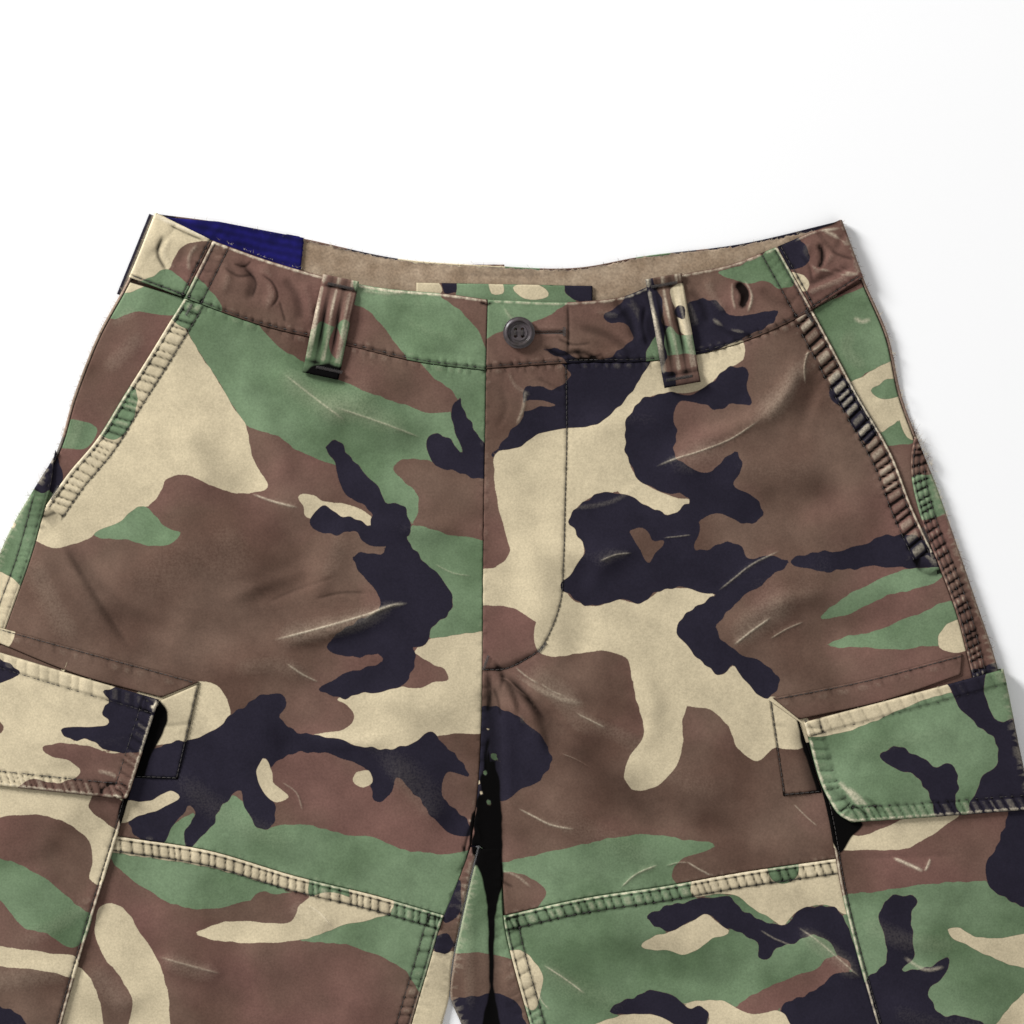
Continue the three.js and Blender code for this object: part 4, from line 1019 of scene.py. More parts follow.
FACING_FOLDS = crease_rows("""
236,228 228,214 244,198 | 5 .5 .1; 232,232 238,229 244,231 | 1.2 .3 .6;
248,186 252,180 262,178 | 4 .5 .1; -190,226 -208,208 -222,196 | 6 .5 .1;
-232,176 -236,160 -244,148 | 5 .4 .1; -196,238 -206,232 -216,226 | 4 .4 .1""")
facing_top = surface(["right_pocket_facing", "left_pocket_facing"], downwards=True)


def facing_height(points):
    broad, worn_and_shaded = folded(points, FOLDS)
    crisp, rubbed_and_shaded = folded(points, FACING_FOLDS)
    height = height_on(facing_top, points) + 0.4 * np.clip(broad, 0, 9) + crisp
    return np.minimum(height, height_on(front_top, points) - 0.6), worn_and_shaded + rubbed_and_shaded


for leg, side in SIGN.items():
    edge = pocket_edge[leg]
    under = moved(edge, 16 * side * (1 if edge[0, 1] < edge[-1, 1] else -1))
    outer = moved(between(side_line[leg], 253.5, edge[-1, 1] + 6), -side * 2.2)
    ring = ring_round(np.vstack([edge[:1], under[:-1], edge[-1:]]), outer)
    cloth_piece(leg + "_pocket_facing_cloth",
                [strip_sheet(ring, FACING_PRINT[leg], facing_height, rows=FACING_FOLDS)],
                [leg + "_pocket_facing"])

# ==================================================================================================
# Front panels and fly
# A panel for each leg from the waistband down to the seam across the thigh, and the fly's underlap
# behind the left one. The pocket mouths are turned under and held by two rows of stitching.
# ==================================================================================================
FRONT_SEAM = {
    "right": spots("-169,243 -126,227.5 -73,215 -28,204.5 11.8,199.5"),
    "left": spots("12,200.5 63,204 118,206 158,214 198,230.5 208,236"),
}
CENTRE_FRONT = spots("12,200.5 10.2,86 9.6,8 8.9,-18 7.2,-50 3,-86")
THIGH_SEAM = {
    "right": spots("-13,-128 -54,-116 -103,-104 -154,-89 -210,-80 -306,-60"),
    "left": spots("23,-128 67,-118 120,-110 165,-102 220,-94 322,-78"),
}
CROTCH = {"right": spots("3,-86 -2,-100 -13,-128"), "left": spots("3,-86 8.2,-86.3 21.3,-98 23,-128")}
FLY_STITCH = spots("60,204 60.5,160 59.5,120 58.5,84 57,62 52,46 44,32 34,25 22,20 11,20")
front_seam = {leg: curve(FRONT_SEAM[leg]) for leg in SIGN}
thigh_seam = {leg: curve(THIGH_SEAM[leg]) for leg in SIGN}
centre_front = curve(CENTRE_FRONT)
fly_stitch = curve(FLY_STITCH)
INTO = {"right": (-100, 60), "left": (120, 60)}  # a place well inside each front panel
front_seams = {
    "right": [seam(pocket_edge["right"], INTO["right"], 2.2, 12.2, 1.0, 5.0, 0.75, rows=(2.4, 12.5), edge=1.3,
                   seed=21),
              seam(front_seam["right"], INTO["right"], -0.5, 3, 0.55, 7, 0.3, spread=7, seed=31),
              seam(centre_front, INTO["right"], -0.5, 2.5, 0.3, 9, 0.2, spread=6, seed=32),
              seam(thigh_seam["right"], INTO["right"], -0.5, 2, 0.4, 6, 0.3, spread=5, seed=33)],
    "left": [seam(pocket_edge["left"], INTO["left"], 2.2, 12.2, 1.7, 6.2, 1.7, rows=(2.4, 12.5), edge=1.4,
                  spread=4.5, seed=22),
             seam(front_seam["left"], INTO["left"], -0.5, 3, 0.7, 6, 0.3, spread=8, seed=41),
             seam(centre_front, INTO["left"], -0.5, 2.5, 0.3, 8, 0.3, spread=6, seed=42),
             seam(fly_stitch, INTO["left"], -0.8, 0.8, 0.25, 9, 0.2, rows=(0.0,), spread=5, seed=43),
             seam(thigh_seam["left"], INTO["left"], -0.5, 2, 0.4, 6, 0.3, spread=5, seed=44)],
}
for leg, side in SIGN.items():
    thigh = thigh_seam[leg]
    fell = between(outseam_line[leg], outseam_line[leg][0, 1], thigh[-1, 1])[1:-1]
    crotch = np.array(CROTCH[leg], float)
    ring = [(front_seam[leg] if side < 0 else front_seam[leg][::-1], True),
            (np.vstack([centre_front[1:], crotch[1:-1]]), True), (thigh, True), (fell[::-1], True),
            (pocket_edge[leg][::-1], True)]
    chart = RIGHT_FRONT if side < 0 else LEFT_FRONT + CROTCH_SHADOW
    seams = front_seams[leg]
    cloth_piece(leg + "_front_cloth",
                [strip_sheet(ring, chart, lambda p: top_height(p, seams=seams), seams)],
                [leg + "_front_panel"])

UNDERLAP = spots("-14,196 54,197 53,78 40,36 -14,36")
underlap_top = surface(["fly_underlap"], downwards=True)
cloth_piece("fly_underlap_cloth",
            [strip_sheet(corners_round(UNDERLAP), far_side(LEFT_FRONT, 1, (-30, 30)),
                         lambda p: (np.minimum(height_on(underlap_top, p), height_on(front_top, p) - 1.1),
                                    0 * p[:, 0]), rows=(), coarse=4)],
            ["fly_underlap"])

# ==================================================================================================
# Thigh panels
# The lower half of each front, felled to the upper one: its seam allowance is turned under in a band
# 9 mm wide, stitched twice and puckered, and worn pale along its upper edge.
# ==================================================================================================
THIGH_PRINT = {"right": RIGHT_THIGH, "left": LEFT_THIGH}
for leg, side in SIGN.items():
    below = (side * 200, -240)
    low_inseam = between(inseam_line[leg], -128, inseam_line[leg][-1, 1])
    seams = [
        seam(thigh_seam[leg], below, 1.2, 8.8, 1.0, 5.2, 0.8, rows=(1.9, 8.8), raised=0.45, edge=1.1,
             seed=51 + side),
        seam(low_inseam, below, 1.2, 8.5, 0.6, 7, 0.5, rows=(1.8, 8.5), raised=0.25, edge=0.9,
             seed=61 + side)]
    low_outseam = between(outseam_line[leg], thigh_seam[leg][-1, 1], outseam_line[leg][-1, 1])[1:]
    ring = [(thigh_seam[leg], True), (low_outseam, True), (curve([low_outseam[-1], low_inseam[-1]]), True),
            (low_inseam[::-1], True)]
    cloth_piece(leg + "_thigh_cloth",
                [strip_sheet(ring, THIGH_PRINT[leg], lambda p: top_height(p, seams=seams), seams)],
                [leg + "_thigh_panel"])

# ==================================================================================================
# Waistband
# A straight band 42 mm high, doubled, with a tan facing on its inside. Its right end runs on under
# the left one, which buttons over it; a patch of the print and a bare label are sewn to the facing.
# ==================================================================================================
BACK_TOP = spots("-187,294 -149,289 -97,279 -40,267 12,263 70,262 103,268 166,276 226,290")
FRONT_TOP = {
    "right": spots("-152,277.5 -115,264.5 -56,250 -8,245 13,242"),
    "left": spots("13,242 70,241 94,244 121,255 161,264 187,274"),
}
BUTTONHOLE = [(34, 222.2), (58.5, 222.6)]
WAIST_PRINT = {
    "right": patches("""
green -172,258 -160,254 -152,246 -146,236 -170,236;
green -68,252 -67,240 -58,235 -50,226 -43,217 -38,210 -26,196 22,192 22,252;
brown -16,246 0,232 8,222 14,210 24,230 16,250"""),
    "left": patches("""
green 4,254 66,246 57,237 44,230 34,226 22,223 4,217;
black 106,256 97,244 90,238 83,232 86,228 96,228 100,220 94,213 84,207 72,206 62,209 54,213 47,213 58,206
70,196 120,196 122,260;
brown 76,214 88,216 96,222 90,227 82,226 74,220;
black 132,238 142,243 150,241 156,235 164,232 178,235 187,234 186,230 174,223 160,214 150,204 130,204;
sand 136,204 150,212 168,216 168,208 150,198;
green 152,258 165,263 176,268 184,274 193,262 197,251 188,249 180,253 168,252 158,255;
green 108,204 130,204 130,224 116,222"""),
}
WRAP_PRINT = {
    "right": patches("""
sand -215,302 -150,300 -150,277 -160,277 -168,275 -174,269 -178,260 -186,250 -215,250;
green -202,249 -190,255 -179,260 -173,257 -168,252 -160,238 -200,238"""),
    "left": patches("""
black 186,274 200,279 206,268 203,262 196,260 189,264;
sand 194,258 201,257 206,253 204,247 199,249 195,253"""),
}
# Crumples in the front bands: pale where rubbed, and painted shade in those with wear below 0.
WAIST_CREASES = crease_rows("""
44,216 56,209 68,211 82,204 | 1.5 -.5 -.9; 54,219 64,215 76,216 | .9 -.4 -.55;
8,240.5 12,239.6 16,240 | 1.1 -.4 -1.2; 60,208 70,206 84,210 | 1.0 -.3 -.7;
-124,258 -116,252 -113,244 -118,236 | .8 -.35 -.8; -112,242 -110,234 -108,228 | .8 -.3 -.6;
-140,264 -133,262 -128,266 | .8 -.3 -.6; -92,232 -88,240 -86,250 | 1.0 -.4 -.5;
22,238 28,230 34,226 | .8 .4 .2; 16,240 30,228 60,224 | 4 .6 .05; 61,241 61.5,224 61,208 | .8 -.35 -.8;
-150,270 -143,258 -146,244 | 3 .9 .08; -137,266 -128,254 -131,240 | 2.6 -.9 -.5;
-134,262 -126,252 -129,242 | .8 -.3 -.5; -124,264 -116,248 -120,234 | 3.5 1.0 .1;
-110,256 -101,242 -99,228 | 2.6 -.8 -.45; -98,254 -94,240 -92,226 | 3 .7 .06;
-146,262 -136,256 -128,257 | 1.0 -.4 -.6; 144,256 149,243 157,234 | 3 .9 .1;
134,250 141,240 146,226 | 2.4 -.9 -.5; 162,253 167,244 165,236 | 1.8 -1.2 -2.2;
167,254 171.5,244 169,234 | .8 .5 .55; 160,253 160,244 162,235 | .8 .4 .3;
163,253 169,247 168,240 | 1.2 -.8 -1.2; 176,250 185,241 198,238 | 3 -.7 -.25;
60,216 80,209 104,212 | 3 .8 .05; 66,226 88,219 103,206 | 2.5 -.9 -.45; 96,244 104,232 108,216 | 3 .9 .1;
88,242 98,230 101,216 | 2.2 -.9 -.6; 76,236 90,233 98,240 | 2.0 .7 .1;
64,212 76,204 92,204 | 1.2 -.5 -.7; -40,232 -20,222 0,218 | 4 .7 .05;
126,250 134,238 139,224 | 2.6 .9 .12; -56,244 -36,240 -8,238 | 5 .6 .04;
-30,212 -12,210 6,208 | 3 -.5 -.15; 146,232 158,224 170,222 | 1.2 .5 .3;
150,228 164,220 180,224 | 2 -.6 -.35; 108,240 106,226 110,212 | 1.2 -.5 -.6;
-64,248 -50,246 -36,246 | 1.0 .4 .3""")
# Crumples where the back band wraps round the hips: pale where rubbed, painted shade in those with wear below
# 0.
WRAP_CREASES = crease_rows("""
-188,293.5 -170,285 -152,278 | 1.1 .3 1.5; -180,288 -168,282 -156,277 | .7 -.3 -.9;
186,274.5 204,283 226,289.5 | 1.2 -.3 -1.5; 196,277 210,283 226,285 | .8 .3 .6;
-181,282 -185,270 -179,258 | 1.0 -.6 -.9; -177,281 -181,270 -174,259 | 1.4 .6 .2;
-168,276 -172,262 | 2.5 -.5 -.15; -190,288 -196,274 -200,262 | 2.5 .6 .05;
-172,290 -180,278 -192,266 | 1.6 -.4 -.25; -160,276 -166,268 -166,258 | 1.2 .4 .25;
206,278 204,266 212,258 | 2.5 .8 .1; 211,277 214,268 211,259 | 1.6 -.9 -1.3;
222,272 214,262 208,254 | 2.2 .7 .1; 204,250 216,256 232,262 | 2.0 -.8 -.6;
200,244 214,250 231,256 | 2.0 .7 .2; 228,284 222,272 | 2 -.6 -.4; 214,284 222,280 230,274 | 1.1 .5 .5;
218,272 226,268 234,266 | 1.0 -.5 -.6; 206,262 222,258 234,256 | .9 .4 .4;
200,270 206,262 208,252 | 1.0 -.4 -.5; 222,262 230,258 237,257 | .9 .4 .5;
210,286 216,276 224,270 | 1.4 -.5 -.4""")
BAND_END = {"right": [(-152, 277.5), (-169, 243)], "left": [(187, 274), (208, 236)]}
BAND_PROUD = 0.7  # the band is doubled over its seam, so it stands above the front panels
band_seams = {
    leg: [seam(front_seam[leg], (side * 90, 262), 0.4, 3.4, 0.7, 6.5, 0.4, rows=(1.6,), spread=8,
               seed=71 + side),
          seam(curve(FRONT_TOP[leg]), (side * 60, 200), 0.2, 2.2, 0.4, 8, 0.3, spread=5,
               edge=0.85 - 0.25 * side, seed=75 + side),
          seam(curve(BAND_END[leg]), (side * 60, 236), 1.8, 11, 0.5, 6, 0.3, rows=(2.2, 10.5), edge=1.1,
               seed=85 + side)]
    for leg, side in SIGN.items()}


def band_height(leg):
    return lambda p: top_height(p, level=BAND_PROUD, seams=band_seams[leg], rows=WAIST_CREASES)


for leg, side in SIGN.items():
    top = curve(FRONT_TOP[leg])
    below = front_seam[leg]
    piece = strip_sheet(ring_round(top, below), WAIST_PRINT[leg], band_height(leg), band_seams[leg],
                        WAIST_CREASES)
    if side > 0:  # the buttonhole, cut open between its stitched lips
        slit = curve(BUTTONHOLE, step=1)
        off = np.abs(to_line(piece[0][:, :2], slit)[0])
        piece[0][:, 2] += 0.35 * np.exp(-(((off - 1.6) / 0.8) ** 2)) - 0.9 * np.exp(-((off / 0.6) ** 2))
        # painted shade in the slit
        piece[3][:] -= 0.9 * np.exp(-((off / 0.8) ** 2))
    parts = [piece]
    if side < 0:  # its end turns down at the fly and runs on under the left end
        end = spots("9,241.2 55,240.2 54,202.5 8.5,199.8")
        parts.append(strip_sheet(corners_round(end), WAIST_PRINT["right"],
                                 lambda p: (height_on(front_top, p) - 1.4, 0 * p[:, 0]), rows=(), coarse=4))
    cloth_piece("waistband_front_" + leg + "_cloth", parts,
                ["waistband_front_" + leg])

# the back band: on the table behind, round both hips, and onto the front as far as the side seams
hip_top = {leg: between(moved(side_line[leg], -side * FOLD_ROUND), BACK_TOP[0 if side < 0 else -1][1], 255)
           for leg, side in SIGN.items()}


def across_the_back(line, end):
    """The part of a line between the hips, joined to their upper (0) or lower (-1) ends."""
    right, left = hip_top["right"][end], hip_top["left"][end]
    inside = (line[:, 0] > right[0] + 0.5) & (line[:, 0] < left[0] - 0.5)
    return np.vstack([right, line[inside], left])


ring = [(across_the_back(curve(BACK_TOP), 0), True), (hip_top["left"], False),
        (across_the_back(curve(SEAT_SEAM), -1)[::-1], True), (hip_top["right"][::-1], False)]
seat_print = [row for row in far_side(LEFT_FRONT[1:] + RIGHT_FRONT, -1, (60, 130)) if row[0] != "gap"]
seat_print.append(("black", "140,290 240,304 240,280 226,282 190,276 150,268"))
back_level = surface(["waistband_back"], downwards=False)
band_under = lambda p: (height_on(back_level, p), 0 * p[:, 0])
parts = [under_sheet(ring, seat_print, band_under, coarse=4)]
for leg, side in SIGN.items():
    fold = hip_top[leg]
    front_end = curve([FRONT_TOP[leg][0 if side < 0 else -1], FRONT_SEAM[leg][0 if side < 0 else -1]])
    wrap_seams = [seam(front_end, (side * 300, 260), 0.5, 2.5, 0.5, 7, 0.4, rows=(1.8,), spread=5, seed=81),
                  seam(curve([front_end[-1], fold[-1]]), (side * 215, 290), 0.5, 2.5, 0.5, 6, 0.4,
                       rows=(1.8,), seed=82)]
    high = lambda p: top_height(p, level=BAND_PROUD, seams=wrap_seams, rows=WRAP_CREASES)
    ring = ring_round(fold, front_end, (False, True))
    parts.append(strip_sheet(ring, WRAP_PRINT[leg], high, wrap_seams, WRAP_CREASES))
    parts.append(folded_round(fold, side, high, band_under, WRAP_PRINT[leg], bulge=FOLD_ROUND))
cloth_piece("waistband_back_cloth", parts, ["waistband_back"])

# plain tan twill, a little rough, darker in patches along its top edge, with painted shade in its creases
FACING_OUTLINE = spots("-183,291.5 -149,288.2 -97,278.2 -40,266.2 12,262.2 70,261.2 103,267.2 166,275.2"
                       " 221.5,286.5")
FACING_FOOT = spots("233.5,253 166,235 103,227 70,221 12,222 -40,226 -97,238 -149,248 -198,252.5")
TAN_DARKENED = "#5D4E42"


def tan_material():
    material, shader, place = blank_material("plain tan twill", 0.95, 0.2)
    shader.inputs["Sheen Weight"].default_value = 0.2
    blotch = noise(material, place, 70.0, 4.0, 0.6)
    grain = noise(material, place, 700.0, 3.0)
    wear_and_shade = add(material, "Attribute", attribute_name="wear_and_shade").outputs["Fac"]
    colour = blend(material, spread(material, blotch, 0.35, 0.68), "#86725D", "#A3907A")
    colour = blend(material, spread(material, wear_and_shade, -0.05, -1.0, end=0.9), colour, TAN_DARKENED)
    level = spread(material, grain, 0.3, 0.7, 0.8, 1.2)
    return finish(material, shader, scaled(material, colour, level), bump(material, grain, 0.5, 0.0004))


lining_top = surface(["waistband_facing"], downwards=True)
facing_top_line = curve(FACING_OUTLINE)
LINING_FOLDS = crease_rows("""
-96,262 -40,256 10,252 | 5 .5 -.1; 90,258 110,252 130,258 | 4 .4 -.2;
-20,258 20,257 60,257 | 1.5 -.3 -.35; -96,272 -60,266 -20,262 | 2 .3 .1""")


def lining_height(points):
    crisp, rubbed_and_shaded = folded(points, LINING_FOLDS)
    off, along = to_line(points, facing_top_line)
    off = np.abs(off)
    patchy = 0.55 + 0.45 * np.sin(along * 0.21) * np.sin(along * 0.083 + 1)
    # darker in patches along the top edge
    darker_edge = 0.9 * np.exp(-((off / 1.6) ** 2)) * patchy
    return height_on(lining_top, points) + crisp + 0.2 * np.sin(along * 0.6) * np.exp(-off / 4), rubbed_and_shaded - darker_edge


ragged = facing_top_line.copy()
ragged[1:-1, 1] += rng.normal(0, 0.35, len(ragged) - 2) - 0.2
ring = ring_round(ragged, curve(FACING_FOOT)[::-1])
cloth_piece("waistband_facing_cloth", [strip_sheet(ring, [], lining_height, rows=LINING_FOLDS)],
            ["waistband_facing"], material=tan_material())

PATCH = spots("-30,252.5 76,250.5 76,230 -30,231")
patch_print = patches("""
sand -34,256 -18,254 -14,248 -22,243 -34,243;
black -14,254 -6,253 -6,246 -12,246;
green -4,256 66,254 64,228 -4,228;
sand 14,254 22,253 22,246 15,246;
black 58,252 80,253 80,240 64,243 60,247;
sand 28,249 46,250 50,246 34,243""")
label_top = surface(["waist_label", "waist_inner_patch"], downwards=True)


def wavy(points, height, pace):
    """The height of a small piece on the facing, with shallow waves across it."""
    return height_on(label_top, points) + height * np.sin(points[:, 0] * pace), 0 * points[:, 0]


cloth_piece("waist_inner_patch_cloth",
            [strip_sheet(corners_round(PATCH), patch_print, lambda p: wavy(p, 0.2, 0.2), rows=())],
            ["waist_inner_patch"])
LABEL = spots("-180.5,291.6 -149,289.2 -97.5,279.4 -100.5,249.6 -172,260")


def label_material():
    """Dark blue woven label tape, left bare: fine ribs and a satin gleam."""
    material, shader, place = blank_material("woven label satin", 0.6, 0.12)
    turned = add(material, "Mapping", [(0, place)])
    turned.inputs["Rotation"].default_value = (0, 0, math.radians(12))
    ribs = add(material, "TexWave", [(0, turned.outputs[0])], in_1=1000 / 0.8 / 20, in_2=0.6,
               bands_direction="Y").outputs["Fac"]
    tone = spread(material, ribs, 0.0, 1.0, 0.75, 1.2)
    share = spread(material, noise(material, place, 160.0, 3.0), 0.35, 0.75)
    colour = scaled(material, blend(material, share, "#0B0940", "#17135C"), tone)
    return finish(material, shader, colour, bump(material, ribs, 0.4, 0.0002))


cloth_piece("waist_label_cloth",
            [strip_sheet(corners_round(LABEL), [], lambda p: wavy(p, 0.25, 0.12), rows=())],
            ["waist_label"], material=label_material())

# ==================================================================================================
# Cargo pockets
# A patch pocket on each outer leg, cut in one piece of the printed twill. It is sewn down along its
# front edge over a folded pleat and goes round the outseam onto the back, under the leg.
# ==================================================================================================
CARGO_FRONT = {
    "right": spots("-189.5,-14 -199,-45 -206,-69 -232,-155 -252,-226"),
    "left": spots("204,-24 214,-54 226,-116 257,-230"),
}
CARGO_SIDE = {"right": (4, -207), "left": (-8, -210)}  # heights of its top and bottom edge at the side
CARGO_WRAP = 62  # how far it goes round onto the back
CARGO_PRINT = {
    "right": patches("""
sand -345,30 -180,30 -188,-20 -194,-50 -204,-60 -214,-52 -223,-54 -226,-62 -216,-72 -208,-78 -212,-92
-216,-106 -221,-109 -226,-105 -224,-95 -227,-82 -236,-74 -250,-68 -268,-67 -284,-69 -345,-66;
green -345,-98 -300,-94 -280,-93 -268,-97 -250,-107 -235,-120 -225,-128 -229,-142 -236,-147 -250,-139
-266,-134 -280,-118 -300,-112 -345,-120;
sand -350,-140 -300,-143 -280,-146 -250,-150 -233,-154 -233,-164 -250,-161 -280,-158 -350,-160;
black -345,-185 -300,-178 -270,-186 -255,-205 -280,-222 -320,-215"""),
    "left": patches("""
green 224,-116 246,-113 272,-109 305,-107 360,-112 390,-240 250,-245;
sand 217,-86 226,-80 240,-79 252,-74 264,-69 296,-67 288,-73 276,-81 264,-87 244,-88 226,-88;
black 326,-64 322,-78 317,-88 312,-98 312,-106 320,-115 332,-121 352,-124 352,-60;
black 262,-115 269,-116 267,-130 268,-142 269,-151 262,-160 272,-160 282,-156 289,-153 290,-158 284,-166
278,-172 284,-186 296,-188 310,-192 310,-205 236,-205 240,-166 248,-160 253,-150 250,-138 248,-127
252,-118;
sand 289,-136 296,-135 305,-140 320,-141 352,-139 352,-160 330,-158 314,-152 300,-145 291,-140;
sand 316,-196 326,-183 336,-173 360,-160 364,-200"""),
}
# painted shadow in the dark wedge between each flap's front edge and the pleat and pocket below it
FLAP_SHADOW = {"right": ("gap", "-184,2 -180,-4 -190,-34 -200,-62 -207,-74 -209,-66 -204,-54 -198,-30"),
            "left": ("gap", "200,-8 205,-10 212,-30 219,-56 226,-66 238,-73 232,-80 224,-90 219,-82 214,-66"
                            " 208,-44 201,-22")}
FLAP_FRONT = {"right": spots("-184,2 -202,-55"), "left": spots("202.5,-11.5 217.5,-58 223.5,-67 231,-71.5")}
# The first two rows are painted shade along the flaps' front edges; the rest are creases in the pockets.
CARGO_CREASES = crease_rows("""
201,-8 206,-30 213,-57 221,-74 | 6 -.5 -.8; -186,-4 -204,-62 | 5 -.3 -.7;
255,-92 266,-97 275,-101 | .9 .35 .9; 275,-101 277,-97 278.5,-93 | .7 .3 .8;
232,-92 262,-92 300,-90 | 1.6 -.3 -.15; -230,-160 -262,-164 -300,-170 | 8 .9 .1;
-214,-112 -240,-130 -272,-146 | 7 .7 .08; -236,-86 -262,-96 -296,-98 | 6 -.7 -.1;
232,-128 262,-142 300,-146 | 8 .9 .08; 246,-180 280,-192 330,-190 | 9 .9 .05;
290,-112 310,-128 344,-134 | 6 -.7 -.1; 262,-152 276,-160 288,-158 | 1.0 .3 .5;
-218,-74 -216,-100 -222,-128 | 5 .5 .06; -250,-190 -280,-196 -320,-192 | 9 .8 .04""")
POCKET_LEVEL, FLAP_LEVEL = LAYER + 0.3, 2 * LAYER + 0.8
pocket_under = surface(["right_cargo_pocket", "left_cargo_pocket"], downwards=False)
flap_under = surface(["right_cargo_flap", "left_cargo_flap"], downwards=False)


def round_the_side(leg, high_end, low_end, out, field, chart, high):
    """The turned side edge and the part that lies on the back, below a top sheet's heights."""
    side = SIGN[leg]
    fold = between(moved(side_line[leg], side * (out - FOLD_ROUND)), high_end, low_end)
    inner = between(moved(side_line[leg], -side * CARGO_WRAP), high_end, low_end)
    low = lambda p: (height_on(field, p), 0 * p[:, 0])
    under = under_sheet(ring_round(fold, inner, (False, True)), chart, low, coarse=5)
    return fold, [folded_round(fold, side, high, low, chart), under]


for leg, side in SIGN.items():
    CARGO_PRINT[leg].append(FLAP_SHADOW[leg])
    front = curve(CARGO_FRONT[leg])
    beyond = (side * 300, -120)
    seams = [seam(front, beyond, 0.5, 2.6, 0.45, 8, 0.4, rows=(2.6,), edge=1.1, spread=4, seed=91 + side)]
    high = lambda p: top_height(p, level=POCKET_LEVEL, seams=seams, rows=CARGO_CREASES)
    fold, parts = round_the_side(leg, *CARGO_SIDE[leg], 1.5, pocket_under, CARGO_PRINT[leg], high)
    ring = ring_round(front, fold, (True, False), step=3)
    parts.append(strip_sheet(ring, CARGO_PRINT[leg], high, seams, CARGO_CREASES))
    cloth_piece(leg + "_cargo_pocket_cloth", parts, [leg + "_cargo_pocket"])

# the stitched-down top end of the pleat in front of each pocket
PLEAT = {
    "right": spots("-160,11.5 -173,-46 -199,-45 -184.5,1"),
    "left": spots("182,1.5 190.5,-56 214,-54 200,-11.2"),
}
PLEAT_PRINT = {
    "right": patches("""
sand -200,20 -150,20 -160,-10 -166,-22 -184,-25 -210,-26;
black -184,-26 -166,-22 -150,-18 -160,-60 -210,-60 -205,-40"""),
    "left": [("sand", "176,6 204,4 216,-24 204,-27 184,-26 176,-20")],
}
for leg, side in SIGN.items():
    PLEAT_PRINT[leg].append(FLAP_SHADOW[leg])
    corner = PLEAT[leg]
    inside = np.mean(corner, axis=0)
    seams = [seam(curve(corner[:2]), inside, 0.3, 2, 0.2, 7, 0.2, rows=(0.9,), spread=3, seed=101),
             seam(curve(corner[1:3]), inside, 0.3, 2, 0.25, 5, 0.3, rows=(0.9,), spread=3, seed=102)]
    ring = corners_round(corner[1:] + corner[:1])
    high = lambda p: top_height(p, level=1.0, seams=seams, rows=rows)
    # painted shade along the flap's front edge, and a crease across the pleat painted with shade
    rows = CARGO_CREASES[:2] + [([(side * 164 + 4, -12), (side * 190 + 4, -14)], 1.2, -0.25, -0.3)]
    cloth_piece(leg + "_pocket_pleat_cloth",
                [strip_sheet(ring, PLEAT_PRINT[leg], high, seams, rows)], [leg + "_pocket_pleat"])

# ==================================================================================================
# Cargo flaps
# Each flap hangs from a narrow band stitched across the leg above the pocket. It is two layers turned
# out and topstitched 9 mm in, which puckers its border; it too goes round the side onto the back.
# ==================================================================================================
FLAP_BAND = {
    "right": spots("-160,12.5 -220,29 -281,45.5 -281,36 -233,17 -183,3.2"),
    "left": spots("184,3 230,12 298,29.5 297,17 250,1 200,-10"),
}
BAND_PRINT = {"right": [("sand", "-290,56 -272,50 -274,34 -290,36")], "left": []}
FLAP_SIDE = {"right": (37, -45), "left": (20, -64)}
FLAP_PRINT = {
    "right": patches("""
sand -345,60 -176,20 -186,-40 -214,-62 -345,-62;
black -217,7 -206,10 -188,8 -178,4 -186,-16 -190,-30 -214,-28 -226,-22 -240,-20 -243,-17 -232,-14 -214,-12
-218,-5 -214,0;
brown -254,-27 -238,-24 -225,-26 -212,-30 -188,-30 -192,-64 -280,-64 -262,-46 -240,-47 -231,-41 -236,-35
-248,-32;
black -290,26 -272,23 -268,18 -273,14 -290,14;
brown -296,-8 -280,-10 -277,-15 -290,-20;
green -330,16 -312,20 -300,2 -310,-18 -336,-14"""),
    "left": patches("""
green all;
sand 194,-18 198,-4 292,20 293,8 280,4 262,-3 244,-11 228,-17 212,-20;
black 289,14 311,20 311,4 315,-5 321,-12 327,-9 332,-17 345,-30 345,-70 300,-70 306,-52 309,-45 317,-38
319,-26 314,-19 304,-11 295,-1;
black 248,-31 251,-28 258,-26 266,-29 275,-34 281,-38 288,-36 294,-41 295,-49 293,-57 297,-70 284,-70
279,-60 275,-50 268,-43 258,-39 250,-35"""),
}
